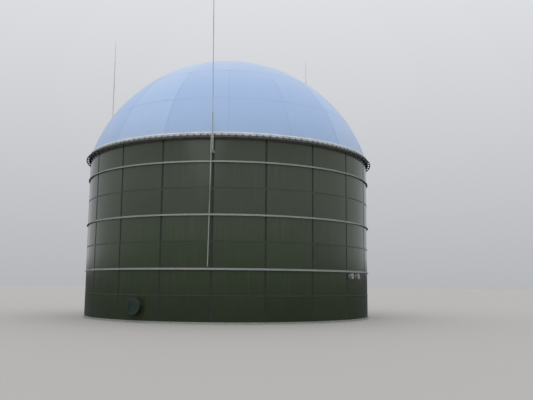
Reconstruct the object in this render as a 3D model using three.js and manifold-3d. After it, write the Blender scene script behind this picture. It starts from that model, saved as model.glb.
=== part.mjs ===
// Biogas digester: a bolted, enamelled steel tank with an air-filled membrane dome for a roof.
// Millimetres, +Z up. The origin is the centre of the base slab's underside, and -Y is the front.
// Everything fixed to the wall is modelled at the front, then turned about Z to its own angle,
// counted from the front towards +X.

import * as THREE from 'three';
import { mergeVertices } from 'three/addons/utils/BufferGeometryUtils.js';
import Module from 'manifold-3d';

const wasm = await Module();
wasm.setup();

// Wall: courses of equal sheets
const SHEETS_ROUND = 20;
const COURSES = 7;
const SHEET_WIDTH = 2400;
const SHEET_HEIGHT = 1200;
const TANK_RADIUS = (SHEETS_ROUND * SHEET_WIDTH) / (2 * Math.PI);
const WALL_HEIGHT = COURSES * SHEET_HEIGHT;
const WALL_THICKNESS = 14;
const LAP_STEP = 4;
const SEAM_WIDTH = 80;
const SEAM_RISE = 6;
const SEAM_ROOT = 9;

// Round forms are drawn with flat facets that meet at every sheet's edge
const FACETS_PER_SHEET = 3;
const FACETS = SHEETS_ROUND * FACETS_PER_SHEET;
const FACET_TURN = (2 * Math.PI) / FACETS;
const GAP = 0.3;
const MERGE_DISTANCE = 0.01;

// Foot of the tank
const SLAB_THICKNESS = 200;
const BASE_LEG = 90;
const BASE_PLATE = 10;

// Wind girders: one rolled angle at every second lap
const GIRDER_LEVELS = { low: 2400, middle: 4800, high: 7200 };
const GIRDER_LEG = 84;
const GIRDER_SHELF = 75;
const ANGLE_PLATE = 8;

// Rim: a channel on the wall's top edge, and a rail on short arms
const RIM_DEPTH = 150;
const RIM_SHELF = 100;
const RAIL_RADIUS = 7890;
const RAIL_SIZE = 60;
const RAIL_BOTTOM = 8232;
const ARMS_ROUND = 84;
const FIRST_ARM = 3.43;
const ARM_WIDTH = 50;
const ARM_DEPTH = 50;

// Membrane roof: a cap of one sphere, welded from three zones
const DOME_TOP = 14140;
const DOME_BASE = 8520;
const DOME_RADIUS = 7645;
const DOME_SKIN = 20;
const WELD_LOW = 10450;
const WELD_HIGH = 12350;
const FOOT_THICKNESS = 12;
const FOOT_MARGIN = 6;
// The foot's soft roll, as an arc in degrees up from level
const ROLL = { reach: 7652, level: 8496, radius: 62, from: -35, to: 100, steps: 6 };
const CLAMP_WIDTH = 34;
const CLAMP_THICKNESS = 8;
const CLAMP_INSET = 2;

// Lightning masts: stepped pipe beside the rail, with a plain pipe that runs on down the wall
const MAST_FOOT = 7590;
const MAST_STEPS = [
  { top: 9350, radius: 21 },
  { top: 13900, radius: 19 },
  { top: 15400, radius: 16 },
  { top: 16700, radius: 10 },
];
const MAST_TIP = 17000;
const MAST_POINT = 6;
const COLLAR_RISE = 6;
const COLLAR_HEIGHT = 90;
const PIPE_SIDES = 8;
const DOWNPIPE_RADIUS = 20;
const DOWNPIPE_TOP = 8250;
const DOWNPIPE_BOTTOM = 2490;
const DOWNPIPE_TOP_SHIFT = -61;
const DOWNPIPE_BOTTOM_SHIFT = -128;
const BACK_PLATE = { left: -104, right: 36, bottom: 7590, top: 8330, thickness: 12 };
const STRUT_SIZE = 50;
const STRUT_BOTTOM = 7610;
const STANDOFF_SIZE = 30;
const MASTS = {
  front: { angle: 0, shift: -6, onSeam: true, lean: -0.64 },
  left: { angle: -105, shift: -293, onSeam: false, lean: 0 },
  right: { angle: 147, shift: -160, onSeam: false, lean: 0 },
};

// Manway in the lowest course, and two closed nozzles under the low girder
const MANWAY = { angle: -27, level: 735, pad: 900, padThickness: 12, reach: 250 };
const MANWAY_BORE = 280;
const MANWAY_NECK = 300;
const MANWAY_FLANGE = 390;
const FLANGE_THICKNESS = 20;
const MANWAY_SIDES = 32;
const NOZZLES = {
  left: { angle: 57, shift: -80 },
  right: { angle: 63, shift: -213 },
};
const NOZZLE = { level: 2170, pipe: 84, flange: 142, thickness: 22, reach: 150 };
const NOZZLE_SIDES = 20;

const FINISHES = {
  enamel: { color: 0x3a4538, roughness: 0.22, metalness: 0.0 },
  galvanised: { color: 0x96988f, roughness: 0.5, metalness: 0.8 },
  darkSteel: { color: 0x3b3d3e, roughness: 0.55, metalness: 0.6 },
  membrane: { color: 0xa9bbdc, roughness: 0.55, metalness: 0.0 },
  whiteFabric: { color: 0xd9dcdc, roughness: 0.6, metalness: 0.0 },
  concrete: { color: 0x9a978f, roughness: 0.9, metalness: 0.0 },
};

const group = new THREE.Group();

// Adds one named piece to the model with a material of its own
function addPiece(name, geometry, finish) {
  geometry.computeVertexNormals();
  const mesh = new THREE.Mesh(geometry, new THREE.MeshStandardMaterial(FINISHES[finish]));
  mesh.name = name;
  group.add(mesh);
}

// A closed three.js geometry as a solid that can be cut and joined
function toSolid(geometry) {
  const bare = geometry.clone();
  bare.deleteAttribute('normal');
  bare.deleteAttribute('uv');
  const merged = mergeVertices(bare, MERGE_DISTANCE);
  const vertProperties = new Float32Array(merged.getAttribute('position').array);
  const triVerts = new Uint32Array(merged.getIndex().array);
  return new wasm.Manifold(new wasm.Mesh({ numProp: 3, vertProperties, triVerts }));
}

// A solid as a three.js geometry again
function toGeometry(solid) {
  const mesh = solid.getMesh();
  const geometry = new THREE.BufferGeometry();
  geometry.setAttribute('position', new THREE.BufferAttribute(new Float32Array(mesh.vertProperties), 3));
  geometry.setIndex(new THREE.BufferAttribute(new Uint32Array(mesh.triVerts), 1));
  return geometry;
}

// Joins several geometries into one
function join(geometries) {
  const solids = geometries.map(toSolid);
  return toGeometry(solids.reduce((whole, solid) => whole.add(solid)));
}

// Turns an outline of [radius, height] points, listed anticlockwise, about Z
function turned(outline, segments = FACETS) {
  const points = outline.map(([radius, height]) => new THREE.Vector2(radius, height));
  const geometry = new THREE.LatheGeometry(points, segments);
  geometry.rotateX(Math.PI / 2);
  return geometry;
}

// A turned ring: the outline closes on itself
function ring(outline, segments = FACETS) {
  return turned([...outline, outline[0]], segments);
}

// A turned piece whose axis points outwards at the front: [radius, distance from the tank's axis]
function turnedOutwards(outline, level, sides) {
  const points = outline.map(([radius, distance]) => new THREE.Vector2(radius, distance));
  const geometry = new THREE.LatheGeometry(points, sides);
  geometry.rotateX(Math.PI);
  geometry.translate(0, 0, level);
  return geometry;
}

// A box given by its lowest and highest corners; out is counted from the tank's axis to the front
function block({ left, right, inner, outer, bottom, top }) {
  const geometry = new THREE.BoxGeometry(right - left, outer - inner, top - bottom);
  geometry.translate((left + right) / 2, -(inner + outer) / 2, (bottom + top) / 2);
  return geometry;
}

// Moves a piece modelled at the front to its own place round the wall
function placeRound(geometry, angle, shift = 0) {
  geometry.translate(shift, 0, 0);
  geometry.rotateZ(THREE.MathUtils.degToRad(angle));
  return geometry;
}

// How far out a ring of the given radius reaches on a seam, or in the middle of a facet
function reachAt(radius, onSeam) {
  return onSeam ? radius : radius * Math.cos(FACET_TURN / 2);
}

// Concrete slab inside the foot of the wall
function baseSlab() {
  const radius = TANK_RADIUS - WALL_THICKNESS - GAP;
  return turned([
    [0, 0],
    [radius, 0],
    [radius, SLAB_THICKNESS],
    [0, SLAB_THICKNESS],
  ]);
}

// Angle ring that the foot of the wall is bolted to
function baseAngle() {
  const inner = angleSeat();
  return ring([
    [inner, 0],
    [inner + BASE_LEG, 0],
    [inner + BASE_LEG, BASE_PLATE],
    [inner + ANGLE_PLATE, BASE_PLATE],
    [inner + ANGLE_PLATE, BASE_LEG],
    [inner, BASE_LEG],
  ]);
}

// Inner radius of every angle ring: it lies on the raised seams between the wall's sheets
function angleSeat() {
  return TANK_RADIUS + SEAM_RISE + (SEAM_WIDTH / 2) * Math.tan(FACET_TURN / 2) + 2 * GAP;
}

// Outer radius of a course: every second one lies one sheet's lap further in
function courseRadius(course) {
  return TANK_RADIUS - (course % 2) * LAP_STEP;
}

// The whole wall as one shell
function wallShell() {
  const outline = [];
  for (let course = 0; course < COURSES; course += 1) {
    outline.push([courseRadius(course), course * SHEET_HEIGHT]);
    outline.push([courseRadius(course), (course + 1) * SHEET_HEIGHT]);
  }
  outline.push([TANK_RADIUS - WALL_THICKNESS, WALL_HEIGHT]);
  outline.push([TANK_RADIUS - WALL_THICKNESS, 0]);
  return toSolid(ring(outline));
}

// Upright wedge that cuts one column of sheets out of the shell
function columnWedge(column) {
  const reach = 2 * TANK_RADIUS;
  const trim = GAP / 2 / TANK_RADIUS;
  const start = column * FACETS_PER_SHEET * FACET_TURN + trim;
  const end = (column + 1) * FACETS_PER_SHEET * FACET_TURN - trim;
  const shape = new THREE.Shape();
  shape.moveTo(0, 0);
  shape.lineTo(reach * Math.sin(start), -reach * Math.cos(start));
  shape.lineTo(reach * Math.sin(end), -reach * Math.cos(end));
  shape.closePath();
  return toSolid(new THREE.ExtrudeGeometry(shape, { depth: WALL_HEIGHT, bevelEnabled: false }));
}

// Raised seam: the edge of one column of sheets lapped over the next one
function seamLap(column) {
  const half = SEAM_WIDTH / 2;
  const edge = TANK_RADIUS + GAP;
  const outer = TANK_RADIUS + GAP + SEAM_RISE;
  const root = TANK_RADIUS - SEAM_ROOT;
  const shape = new THREE.Shape();
  shape.moveTo(-half, -root);
  shape.lineTo(-half, -outer);
  shape.lineTo(half, -outer);
  shape.lineTo(half, -edge);
  shape.lineTo(-GAP, -edge);
  shape.lineTo(-GAP, -root);
  shape.closePath();
  const geometry = new THREE.ExtrudeGeometry(shape, { depth: WALL_HEIGHT, bevelEnabled: false });
  geometry.rotateZ((column + 1) * FACETS_PER_SHEET * FACET_TURN);
  return toSolid(geometry);
}

// Round hole in the wall behind the manway
function manwayHole() {
  const outline = [
    [0, TANK_RADIUS / 2],
    [MANWAY_NECK, TANK_RADIUS / 2],
    [MANWAY_NECK, TANK_RADIUS * 2],
    [0, TANK_RADIUS * 2],
  ];
  return toSolid(placeRound(turnedOutwards(outline, MANWAY.level, MANWAY_SIDES), MANWAY.angle));
}

// Twenty columns of enamelled sheets make the wall
function addWall() {
  const shell = wallShell();
  const hole = manwayHole();
  const holeColumn = Math.floor((MANWAY.angle + 360) / (360 / SHEETS_ROUND));
  for (let column = 0; column < SHEETS_ROUND; column += 1) {
    let solid = shell.intersect(columnWedge(column)).add(seamLap(column));
    if (column === holeColumn) {
      solid = solid.subtract(hole);
    }
    const number = String(column + 1).padStart(2, '0');
    addPiece(`wall_column_${number}`, toGeometry(solid), 'enamel');
  }
}

// Rolled angle round the wall: one leg on the wall, one shelf standing out at its lower edge
function windGirder(level) {
  const inner = angleSeat();
  const bottom = level - GIRDER_LEG / 2;
  const top = level + GIRDER_LEG / 2;
  return ring([
    [inner, bottom],
    [inner + GIRDER_SHELF, bottom],
    [inner + GIRDER_SHELF, bottom + ANGLE_PLATE],
    [inner + ANGLE_PLATE, bottom + ANGLE_PLATE],
    [inner + ANGLE_PLATE, top],
    [inner, top],
  ]);
}

// Channel on the wall's top edge, open downwards; its top carries the membrane's foot
function rimChannel() {
  const inner = angleSeat();
  const outer = inner + RIM_SHELF;
  const bottom = WALL_HEIGHT - RIM_DEPTH;
  return ring([
    [inner, bottom],
    [inner + ANGLE_PLATE, bottom],
    [inner + ANGLE_PLATE, WALL_HEIGHT - ANGLE_PLATE],
    [outer - ANGLE_PLATE, WALL_HEIGHT - ANGLE_PLATE],
    [outer - ANGLE_PLATE, bottom],
    [outer, bottom],
    [outer, WALL_HEIGHT],
    [inner, WALL_HEIGHT],
  ]);
}

// One arm between the rim channel and the rail, level with the rail's top
function railArm(index) {
  const angle = FIRST_ARM + index * (360 / ARMS_ROUND);
  const facetTurn = THREE.MathUtils.radToDeg(FACET_TURN);
  const facetMiddle = (Math.floor(angle / facetTurn) + 0.5) * facetTurn;
  const shift = reachAt(RAIL_RADIUS, false) * Math.tan(THREE.MathUtils.degToRad(angle - facetMiddle));
  const arm = block({
    left: -ARM_WIDTH / 2,
    right: ARM_WIDTH / 2,
    inner: reachAt(angleSeat() + RIM_SHELF, false) + GAP,
    outer: reachAt(RAIL_RADIUS, false) - RAIL_SIZE / 2,
    bottom: RAIL_BOTTOM + RAIL_SIZE - ARM_DEPTH,
    top: RAIL_BOTTOM + RAIL_SIZE,
  });
  return placeRound(arm, facetMiddle, shift);
}

// Rail round the rim with the arms that carry it
function rimRail() {
  const rail = ring([
    [RAIL_RADIUS - RAIL_SIZE, RAIL_BOTTOM],
    [RAIL_RADIUS, RAIL_BOTTOM],
    [RAIL_RADIUS, RAIL_BOTTOM + RAIL_SIZE],
    [RAIL_RADIUS - RAIL_SIZE, RAIL_BOTTOM + RAIL_SIZE],
  ]);
  const pieces = [rail];
  for (let index = 0; index < ARMS_ROUND; index += 1) {
    pieces.push(railArm(index));
  }
  return join(pieces);
}

// Foot of the membrane: it lies flat on the rim's shelf and turns up in a soft roll round the dome
function membraneFoot() {
  const bottom = WALL_HEIGHT + GAP;
  const outer = angleSeat() + RIM_SHELF - FOOT_MARGIN;
  const inner = DOME_RADIUS - DOME_SKIN;
  const seat = DOME_RADIUS + GAP;
  const from = THREE.MathUtils.degToRad(ROLL.from);
  const to = THREE.MathUtils.degToRad(ROLL.to);
  const roll = arcPoints(ROLL.reach, ROLL.level, ROLL.radius, from, to, ROLL.steps);
  const top = roll[ROLL.steps][1];
  return ring([
    [inner, bottom],
    [outer, bottom],
    [outer, bottom + FOOT_THICKNESS],
    [roll[0][0], bottom + FOOT_THICKNESS],
    ...roll,
    [domeReach(top) + GAP, top],
    [seat, domeEdgeHeight(seat) - GAP],
    [inner, domeEdgeHeight(inner) - GAP],
  ]);
}

// Flat bar that clamps the membrane's foot to the rim
function clampRing() {
  const bottom = WALL_HEIGHT + FOOT_THICKNESS + 2 * GAP;
  const outer = angleSeat() + RIM_SHELF - FOOT_MARGIN - CLAMP_INSET;
  return ring([
    [outer - CLAMP_WIDTH, bottom],
    [outer, bottom],
    [outer, bottom + CLAMP_THICKNESS],
    [outer - CLAMP_WIDTH, bottom + CLAMP_THICKNESS],
  ]);
}

// The sphere that the dome is a cap of
function domeSphere() {
  const rise = DOME_TOP - DOME_BASE;
  const radius = (rise * rise + DOME_RADIUS * DOME_RADIUS) / (2 * rise);
  return { radius, centre: DOME_TOP - radius };
}

// Height of the dome's lower edge, which is cut square to its skin
function domeEdgeHeight(radius) {
  const { centre } = domeSphere();
  return centre + (radius * (DOME_BASE - centre)) / DOME_RADIUS;
}

// How far out the dome's skin is at a height
function domeReach(height) {
  const { radius, centre } = domeSphere();
  return Math.sqrt(radius ** 2 - (height - centre) ** 2);
}

// Points on an arc about a point given by its reach and level, between two angles up from level
function arcPoints(reach, level, radius, from, to, steps) {
  const points = [];
  for (let step = 0; step <= steps; step += 1) {
    const angle = from + ((to - from) * step) / steps;
    points.push([reach + radius * Math.cos(angle), level + radius * Math.sin(angle)]);
  }
  return points;
}

// One zone of the dome's skin between two heights
function domeZone(low, high, steps) {
  const { radius, centre } = domeSphere();
  const trim = GAP / 2 / radius;
  const from = Math.asin((low - centre) / radius) + trim;
  const to = Math.asin((high - centre) / radius) - trim;
  const outside = arcPoints(0, centre, radius, from, to, steps);
  const inside = arcPoints(0, centre, radius - DOME_SKIN, to, from, steps);
  return ring([...outside, ...inside]);
}

// The crown that closes the dome
function domeCrown(low, steps) {
  const { radius, centre } = domeSphere();
  const from = Math.asin((low - centre) / radius) + GAP / 2 / radius;
  const outside = arcPoints(0, centre, radius, from, Math.PI / 2, steps);
  const inside = arcPoints(0, centre, radius - DOME_SKIN, Math.PI / 2, from, steps);
  const outline = [...inside, ...outside];
  outline[0][0] = 0;
  outline[outline.length - 1][0] = 0;
  return turned(outline);
}

// Stepped mast with a collar at every joint and a point at its top
function mastPipe(distance, lean) {
  const outline = [[0, MAST_FOOT]];
  let bottom = MAST_FOOT;
  MAST_STEPS.forEach(({ top, radius }, index) => {
    outline.push([radius, bottom]);
    if (index < MAST_STEPS.length - 1) {
      outline.push([radius, top - COLLAR_HEIGHT / 2]);
      outline.push([radius + COLLAR_RISE, top - COLLAR_HEIGHT / 2]);
      outline.push([radius + COLLAR_RISE, top + COLLAR_HEIGHT / 2]);
      bottom = top + COLLAR_HEIGHT / 2;
    } else {
      outline.push([radius, top]);
    }
  });
  outline.push([MAST_POINT, MAST_TIP]);
  outline.push([0, MAST_TIP]);
  const pipe = turned(outline, PIPE_SIDES);
  pipe.rotateZ(Math.PI / PIPE_SIDES);
  pipe.translate(0, 0, -MAST_FOOT);
  pipe.rotateY(THREE.MathUtils.degToRad(lean));
  pipe.translate(0, -distance, MAST_FOOT);
  return pipe;
}

// Plain pipe beside the mast's foot, with a stand-off to each girder that it passes
function downPipe(distance, onSeam, mastShift) {
  const length = DOWNPIPE_TOP - DOWNPIPE_BOTTOM;
  const slope = (DOWNPIPE_TOP_SHIFT - DOWNPIPE_BOTTOM_SHIFT) / length;
  const pipe = turned(
    [
      [0, 0],
      [DOWNPIPE_RADIUS, 0],
      [DOWNPIPE_RADIUS, length],
      [0, length],
    ],
    PIPE_SIDES,
  );
  pipe.rotateZ(Math.PI / PIPE_SIDES);
  pipe.rotateY(Math.atan(slope));
  pipe.translate(DOWNPIPE_BOTTOM_SHIFT, -distance, DOWNPIPE_BOTTOM);
  const pieces = [pipe];
  for (const level of [GIRDER_LEVELS.middle, GIRDER_LEVELS.high]) {
    const shift = DOWNPIPE_BOTTOM_SHIFT + slope * (level - DOWNPIPE_BOTTOM);
    const offset = Math.abs(mastShift + shift) - STANDOFF_SIZE / 2;
    const fall = onSeam ? offset * Math.tan(FACET_TURN / 2) : 0;
    pieces.push(
      block({
        left: shift - STANDOFF_SIZE / 2,
        right: shift + STANDOFF_SIZE / 2,
        inner: reachAt(angleSeat() + GIRDER_SHELF, onSeam) - fall + GAP,
        outer: distance,
        bottom: level - GIRDER_LEG / 2,
        top: level - GIRDER_LEG / 2 + STANDOFF_SIZE,
      }),
    );
  }
  return join(pieces);
}

// Plate behind the mast's foot: it lies on the rail and stands off the wall on a strut
function mastBracket(inner, onSeam) {
  const plate = block({ ...BACK_PLATE, inner, outer: inner + BACK_PLATE.thickness });
  const wall = onSeam ? TANK_RADIUS + SEAM_RISE + 2 * GAP : reachAt(TANK_RADIUS, false) + GAP;
  const strut = block({
    left: -STRUT_SIZE / 2,
    right: STRUT_SIZE / 2,
    inner: wall,
    outer: inner + BACK_PLATE.thickness / 2,
    bottom: STRUT_BOTTOM,
    top: STRUT_BOTTOM + STRUT_SIZE,
  });
  return join([plate, strut]);
}

// Three masts, each with its bracket and down pipe
function addMasts() {
  for (const [side, { angle, shift, onSeam, lean }] of Object.entries(MASTS)) {
    const plateInner = reachAt(RAIL_RADIUS, onSeam) + GAP;
    const plateOuter = plateInner + BACK_PLATE.thickness + GAP;
    const flat = Math.cos(Math.PI / PIPE_SIDES);
    const mast = mastPipe(plateOuter + MAST_STEPS[0].radius * flat, lean);
    const down = downPipe(plateOuter + DOWNPIPE_RADIUS * flat, onSeam, shift);
    const bracket = mastBracket(plateInner, onSeam);
    addPiece(`mast_${side}`, placeRound(mast, angle, shift), 'galvanised');
    addPiece(`down_pipe_${side}`, placeRound(down, angle, shift), 'galvanised');
    addPiece(`mast_bracket_${side}`, placeRound(bracket, angle, shift), 'galvanised');
  }
}

// Manway: a pad on the wall with a flanged neck, closed by a round cover
function addManway() {
  const padInner = reachAt(TANK_RADIUS, false) + GAP;
  const padOuter = padInner + MANWAY.padThickness;
  const flangeOuter = padInner + MANWAY.reach;
  const flangeInner = flangeOuter - FLANGE_THICKNESS;
  const pad = block({
    left: -MANWAY.pad / 2,
    right: MANWAY.pad / 2,
    inner: padInner,
    outer: padOuter,
    bottom: MANWAY.level - MANWAY.pad / 2,
    top: MANWAY.level + MANWAY.pad / 2,
  });
  const neck = turnedOutwards(
    [
      [0, padInner],
      [MANWAY_NECK, padInner],
      [MANWAY_NECK, flangeInner],
      [MANWAY_FLANGE, flangeInner],
      [MANWAY_FLANGE, flangeOuter],
      [0, flangeOuter],
    ],
    MANWAY.level,
    MANWAY_SIDES,
  );
  const bore = turnedOutwards(
    [
      [0, padInner - MANWAY.reach],
      [MANWAY_BORE, padInner - MANWAY.reach],
      [MANWAY_BORE, flangeOuter + MANWAY.reach],
      [0, flangeOuter + MANWAY.reach],
    ],
    MANWAY.level,
    MANWAY_SIDES,
  );
  const frame = toSolid(pad).add(toSolid(neck)).subtract(toSolid(bore));
  const cover = turnedOutwards(
    [
      [0, flangeOuter + GAP],
      [MANWAY_FLANGE, flangeOuter + GAP],
      [MANWAY_FLANGE, flangeOuter + GAP + FLANGE_THICKNESS],
      [0, flangeOuter + GAP + FLANGE_THICKNESS],
    ],
    MANWAY.level,
    MANWAY_SIDES,
  );
  addPiece('manway_frame', placeRound(toGeometry(frame), MANWAY.angle), 'enamel');
  addPiece('manway_cover', placeRound(cover, MANWAY.angle), 'darkSteel');
}

// Short pipe stub with a flange and a blind disc on it
function nozzle() {
  const inner = reachAt(courseRadius(Math.floor(NOZZLE.level / SHEET_HEIGHT)), false) + GAP;
  const outer = inner + NOZZLE.reach;
  return turnedOutwards(
    [
      [0, inner],
      [NOZZLE.pipe, inner],
      [NOZZLE.pipe, outer - NOZZLE.thickness],
      [NOZZLE.flange, outer - NOZZLE.thickness],
      [NOZZLE.flange, outer + NOZZLE.thickness],
      [0, outer + NOZZLE.thickness],
    ],
    NOZZLE.level,
    NOZZLE_SIDES,
  );
}

addPiece('base_slab', baseSlab(), 'concrete');
addPiece('base_angle', baseAngle(), 'galvanised');
addWall();
for (const [place, level] of Object.entries(GIRDER_LEVELS)) {
  addPiece(`wind_girder_${place}`, windGirder(level), 'galvanised');
}
addPiece('rim_channel', rimChannel(), 'darkSteel');
addPiece('rim_rail', rimRail(), 'darkSteel');
addPiece('membrane_foot', membraneFoot(), 'whiteFabric');
addPiece('clamp_ring', clampRing(), 'galvanised');
addPiece('membrane_lower', domeZone(DOME_BASE, WELD_LOW, 3), 'membrane');
addPiece('membrane_upper', domeZone(WELD_LOW, WELD_HIGH, 3), 'membrane');
addPiece('membrane_crown', domeCrown(WELD_HIGH, 4), 'membrane');
addMasts();
addManway();
for (const [side, { angle, shift }] of Object.entries(NOZZLES)) {
  addPiece(`nozzle_${side}`, placeRound(nozzle(), angle, shift), 'galvanised');
}

export default group;
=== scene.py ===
"""Looks of a biogas digester: a bolted, enamelled steel tank under an air-held membrane dome.

Lengths are in metres and the axes are the frame's own: +Z up, and -Y the front. A place round the
wall is an angle counted from the front towards +X. A piece that is fixed to the wall is made at the
front, where +X runs along the wall and -Y points away from it, and is then turned to its own angle.
"""

import functools
import logging
import math
from dataclasses import dataclass, field
from enum import Enum
from typing import Any, Iterable, Sequence

import bmesh
import bpy
from bpy.types import Material, NodeSocket, NodeTree, Object
from mathutils import Matrix, Vector


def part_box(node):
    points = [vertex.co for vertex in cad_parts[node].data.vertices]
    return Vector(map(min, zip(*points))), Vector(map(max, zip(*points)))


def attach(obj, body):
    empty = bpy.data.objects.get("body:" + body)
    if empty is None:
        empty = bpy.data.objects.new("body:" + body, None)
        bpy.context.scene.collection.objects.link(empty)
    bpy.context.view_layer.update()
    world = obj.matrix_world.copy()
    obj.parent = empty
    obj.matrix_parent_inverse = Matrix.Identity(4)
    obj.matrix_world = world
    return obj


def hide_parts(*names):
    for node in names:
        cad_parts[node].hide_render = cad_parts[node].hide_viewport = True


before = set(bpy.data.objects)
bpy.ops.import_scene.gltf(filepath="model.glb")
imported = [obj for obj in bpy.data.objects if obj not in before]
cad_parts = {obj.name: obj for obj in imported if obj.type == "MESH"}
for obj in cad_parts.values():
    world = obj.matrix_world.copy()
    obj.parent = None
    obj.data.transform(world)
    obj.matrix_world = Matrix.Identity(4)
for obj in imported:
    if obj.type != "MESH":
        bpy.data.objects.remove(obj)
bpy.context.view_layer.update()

log = logging.getLogger("digester")

Outline = Sequence[tuple[float, float]]
Loop = Sequence[Vector]

BODY = "root"

# The wall is a whole number of equal sheets, twice as wide as they are high
SHEETS_ROUND = 20
COURSES = 7
WALL_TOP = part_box("wall_column_01")[1].z
SHEET_HEIGHT = WALL_TOP / COURSES
SHEET_WIDTH = 2 * SHEET_HEIGHT
TANK_RADIUS = SHEETS_ROUND * SHEET_WIDTH / math.tau
SHEET_TURN = 360 / SHEETS_ROUND

# Courses lie outside and inside one another by turns
COURSE_INSET = 0.0045
SHEET_THICKNESS = 0.004
SEAM_RISE = 0.005
SEAM_HALF = 0.04

# The rail's arms and the rim's clamps go round evenly, each in a step of its own
ARMS_ROUND = 84
FIRST_ARM = 3.43
CLAMPS_ROUND = 154
FIRST_CLAMP = 0.44

# Steel profiles on the wall clear its lapped seams
PROFILE_RADIUS = TANK_RADIUS + SEAM_RISE + 0.002

# The CAD model's round forms have flat facets of 6 degrees, and its touching parts keep a small gap
CAD_FACET = math.cos(math.pi / 60)
CAD_GAP = 0.0003
CAD_COURSE_INSET = 0.004

# Faces that would otherwise lie in one place are held this far apart
STEP_GAP = 0.0005

# Straight steps round the tank, points along and up a sheet, and the angle that makes an edge sharp
ROUND_STEPS = 360
SHEET_POINTS = (21, 9)
SHARP_ANGLE = math.radians(35)

# Ways to turn a body that is made upright
UPRIGHT = Matrix()
OUTWARDS = Matrix.Rotation(math.radians(90), 4, "X")
INWARDS = Matrix.Rotation(math.radians(-90), 4, "X")
UPSIDE_DOWN = Matrix.Rotation(math.pi, 4, "X")

# Blender's names for the kinds of node that are used most
MATH = "ShaderNodeMath"
RANGE = "ShaderNodeMapRange"
MIX = "ShaderNodeMix"


class Input(Enum):
    """Kinds of input that a tree of geometry nodes is given."""

    NUMBER = "NodeSocketFloat"
    COUNT = "NodeSocketInt"
    MATERIAL = "NodeSocketMaterial"


def linear(colour: str) -> tuple[float, float, float, float]:
    """Turns an sRGB hex colour into the linear one that the shaders work in.

    Args:
        colour: Six hex digits, such as "5A6B58".

    Returns:
        Linear red, green and blue, and an alpha of 1.
    """
    channels = [int(colour[i:i + 2], 16) / 255 for i in (0, 2, 4)]
    straight = [c / 12.92 if c <= 0.04045 else ((c + 0.055) / 1.055) ** 2.4 for c in channels]
    return (*straight, 1.0)


def pick(sockets: Iterable[NodeSocket], key: int | str) -> NodeSocket:
    """Finds a socket among those that the node's settings leave in use.

    Args:
        sockets: A node's inputs or outputs.
        key: Name or number of the socket.

    Returns:
        The socket.
    """
    used = [socket for socket in sockets if socket.enabled]
    return used[key] if isinstance(key, int) else next(s for s in used if s.name == key)


def add_node(tree: NodeTree, kind: str, feeds: dict[int | str, Any] | None = None,
             out: int | str = 0, **settings: Any) -> NodeSocket | None:
    """Adds a node with its settings, values and links.

    Args:
        tree: The tree that gets the node.
        kind: Blender's name for the kind of node.
        feeds: For inputs by name or number, a value or the socket that feeds it.
        out: Name or number of the output that is wanted.
        **settings: Properties of the node, such as a math operation.

    Returns:
        The wanted output, or None on a node that has none.
    """
    node = tree.nodes.new(kind)
    for name, value in settings.items():
        setattr(node, name, value)
    for key, value in (feeds or {}).items():
        socket = pick(node.inputs, key)
        if isinstance(value, NodeSocket):
            tree.links.new(value, socket)
        else:
            socket.default_value = value
    return pick(node.outputs, out) if node.outputs else None


def start_tree(name: str, inputs: dict[Input, Sequence[str]]) -> tuple[Any, dict[str, Any]]:
    """Starts a tree of geometry nodes with named inputs, which always has a seed and a material.

    Args:
        name: The tree's name.
        inputs: Names of the other inputs after the geometry, by their kind.

    Returns:
        The tree, and the sockets that bring its inputs.
    """
    tree = bpy.data.node_groups.new(name, "GeometryNodeTree")
    tree.interface.new_socket("Geometry", in_out="INPUT", socket_type="NodeSocketGeometry")
    common = ((Input.COUNT, ("Seed",)), (Input.MATERIAL, ("Material",)))
    for kind, titles in (*inputs.items(), *common):
        for title in titles:
            tree.interface.new_socket(title, in_out="INPUT", socket_type=kind.value)
    tree.interface.new_socket("Geometry", in_out="OUTPUT", socket_type="NodeSocketGeometry")
    entry = tree.nodes.new("NodeGroupInput")
    return tree, {socket.name: socket for socket in entry.outputs if socket.name}


def close_tree(tree: Any, geometry: NodeSocket, material: NodeSocket) -> Any:
    """Ends a tree: its instances become real and get their material.

    Args:
        tree: The tree.
        geometry: What the tree has made.
        material: The input that brings the material.

    Returns:
        The tree.
    """
    real = add_node(tree, "GeometryNodeRealizeInstances", {"Geometry": geometry})
    dressed = add_node(tree, "GeometryNodeSetMaterial", {"Geometry": real, "Material": material})
    add_node(tree, "NodeGroupOutput", {"Geometry": dressed})
    return tree


def settle(piece: Object) -> Object:
    """Turns a piece's modifiers into a plain mesh with sharp edges marked.

    Args:
        piece: The piece with its modifiers.

    Returns:
        The same piece, with no modifier left on it.
    """
    graph = bpy.context.evaluated_depsgraph_get()
    mesh = bpy.data.meshes.new_from_object(
        piece.evaluated_get(graph), preserve_all_data_layers=True, depsgraph=graph)
    piece.modifiers.clear()
    piece.data = mesh
    mesh.name = piece.name
    mesh.shade_smooth()
    mesh.set_sharp_from_angle(angle=SHARP_ANGLE)
    return piece


def grow(piece: Object, tree: Any, sizes: dict[str, Any], thickness: float = 0.0) -> Any:
    """Runs a tree of geometry nodes on a piece and keeps the result.

    Args:
        piece: The piece whose own mesh goes into the tree.
        tree: The tree.
        sizes: Values for the tree's inputs, by name.
        thickness: How far the skin is thickened inwards, or 0 for a closed body.

    Returns:
        The piece with its new mesh.
    """
    modifier = piece.modifiers.new(tree.name, "NODES")
    modifier.node_group = tree
    for item in tree.interface.items_tree:
        if item.in_out == "INPUT" and item.name in sizes:
            modifier[item.identifier] = sizes[item.name]
    if thickness:
        solidify = piece.modifiers.new("thickness", "SOLIDIFY")
        solidify.thickness = thickness
        solidify.offset = -1
    return settle(piece)


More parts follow.
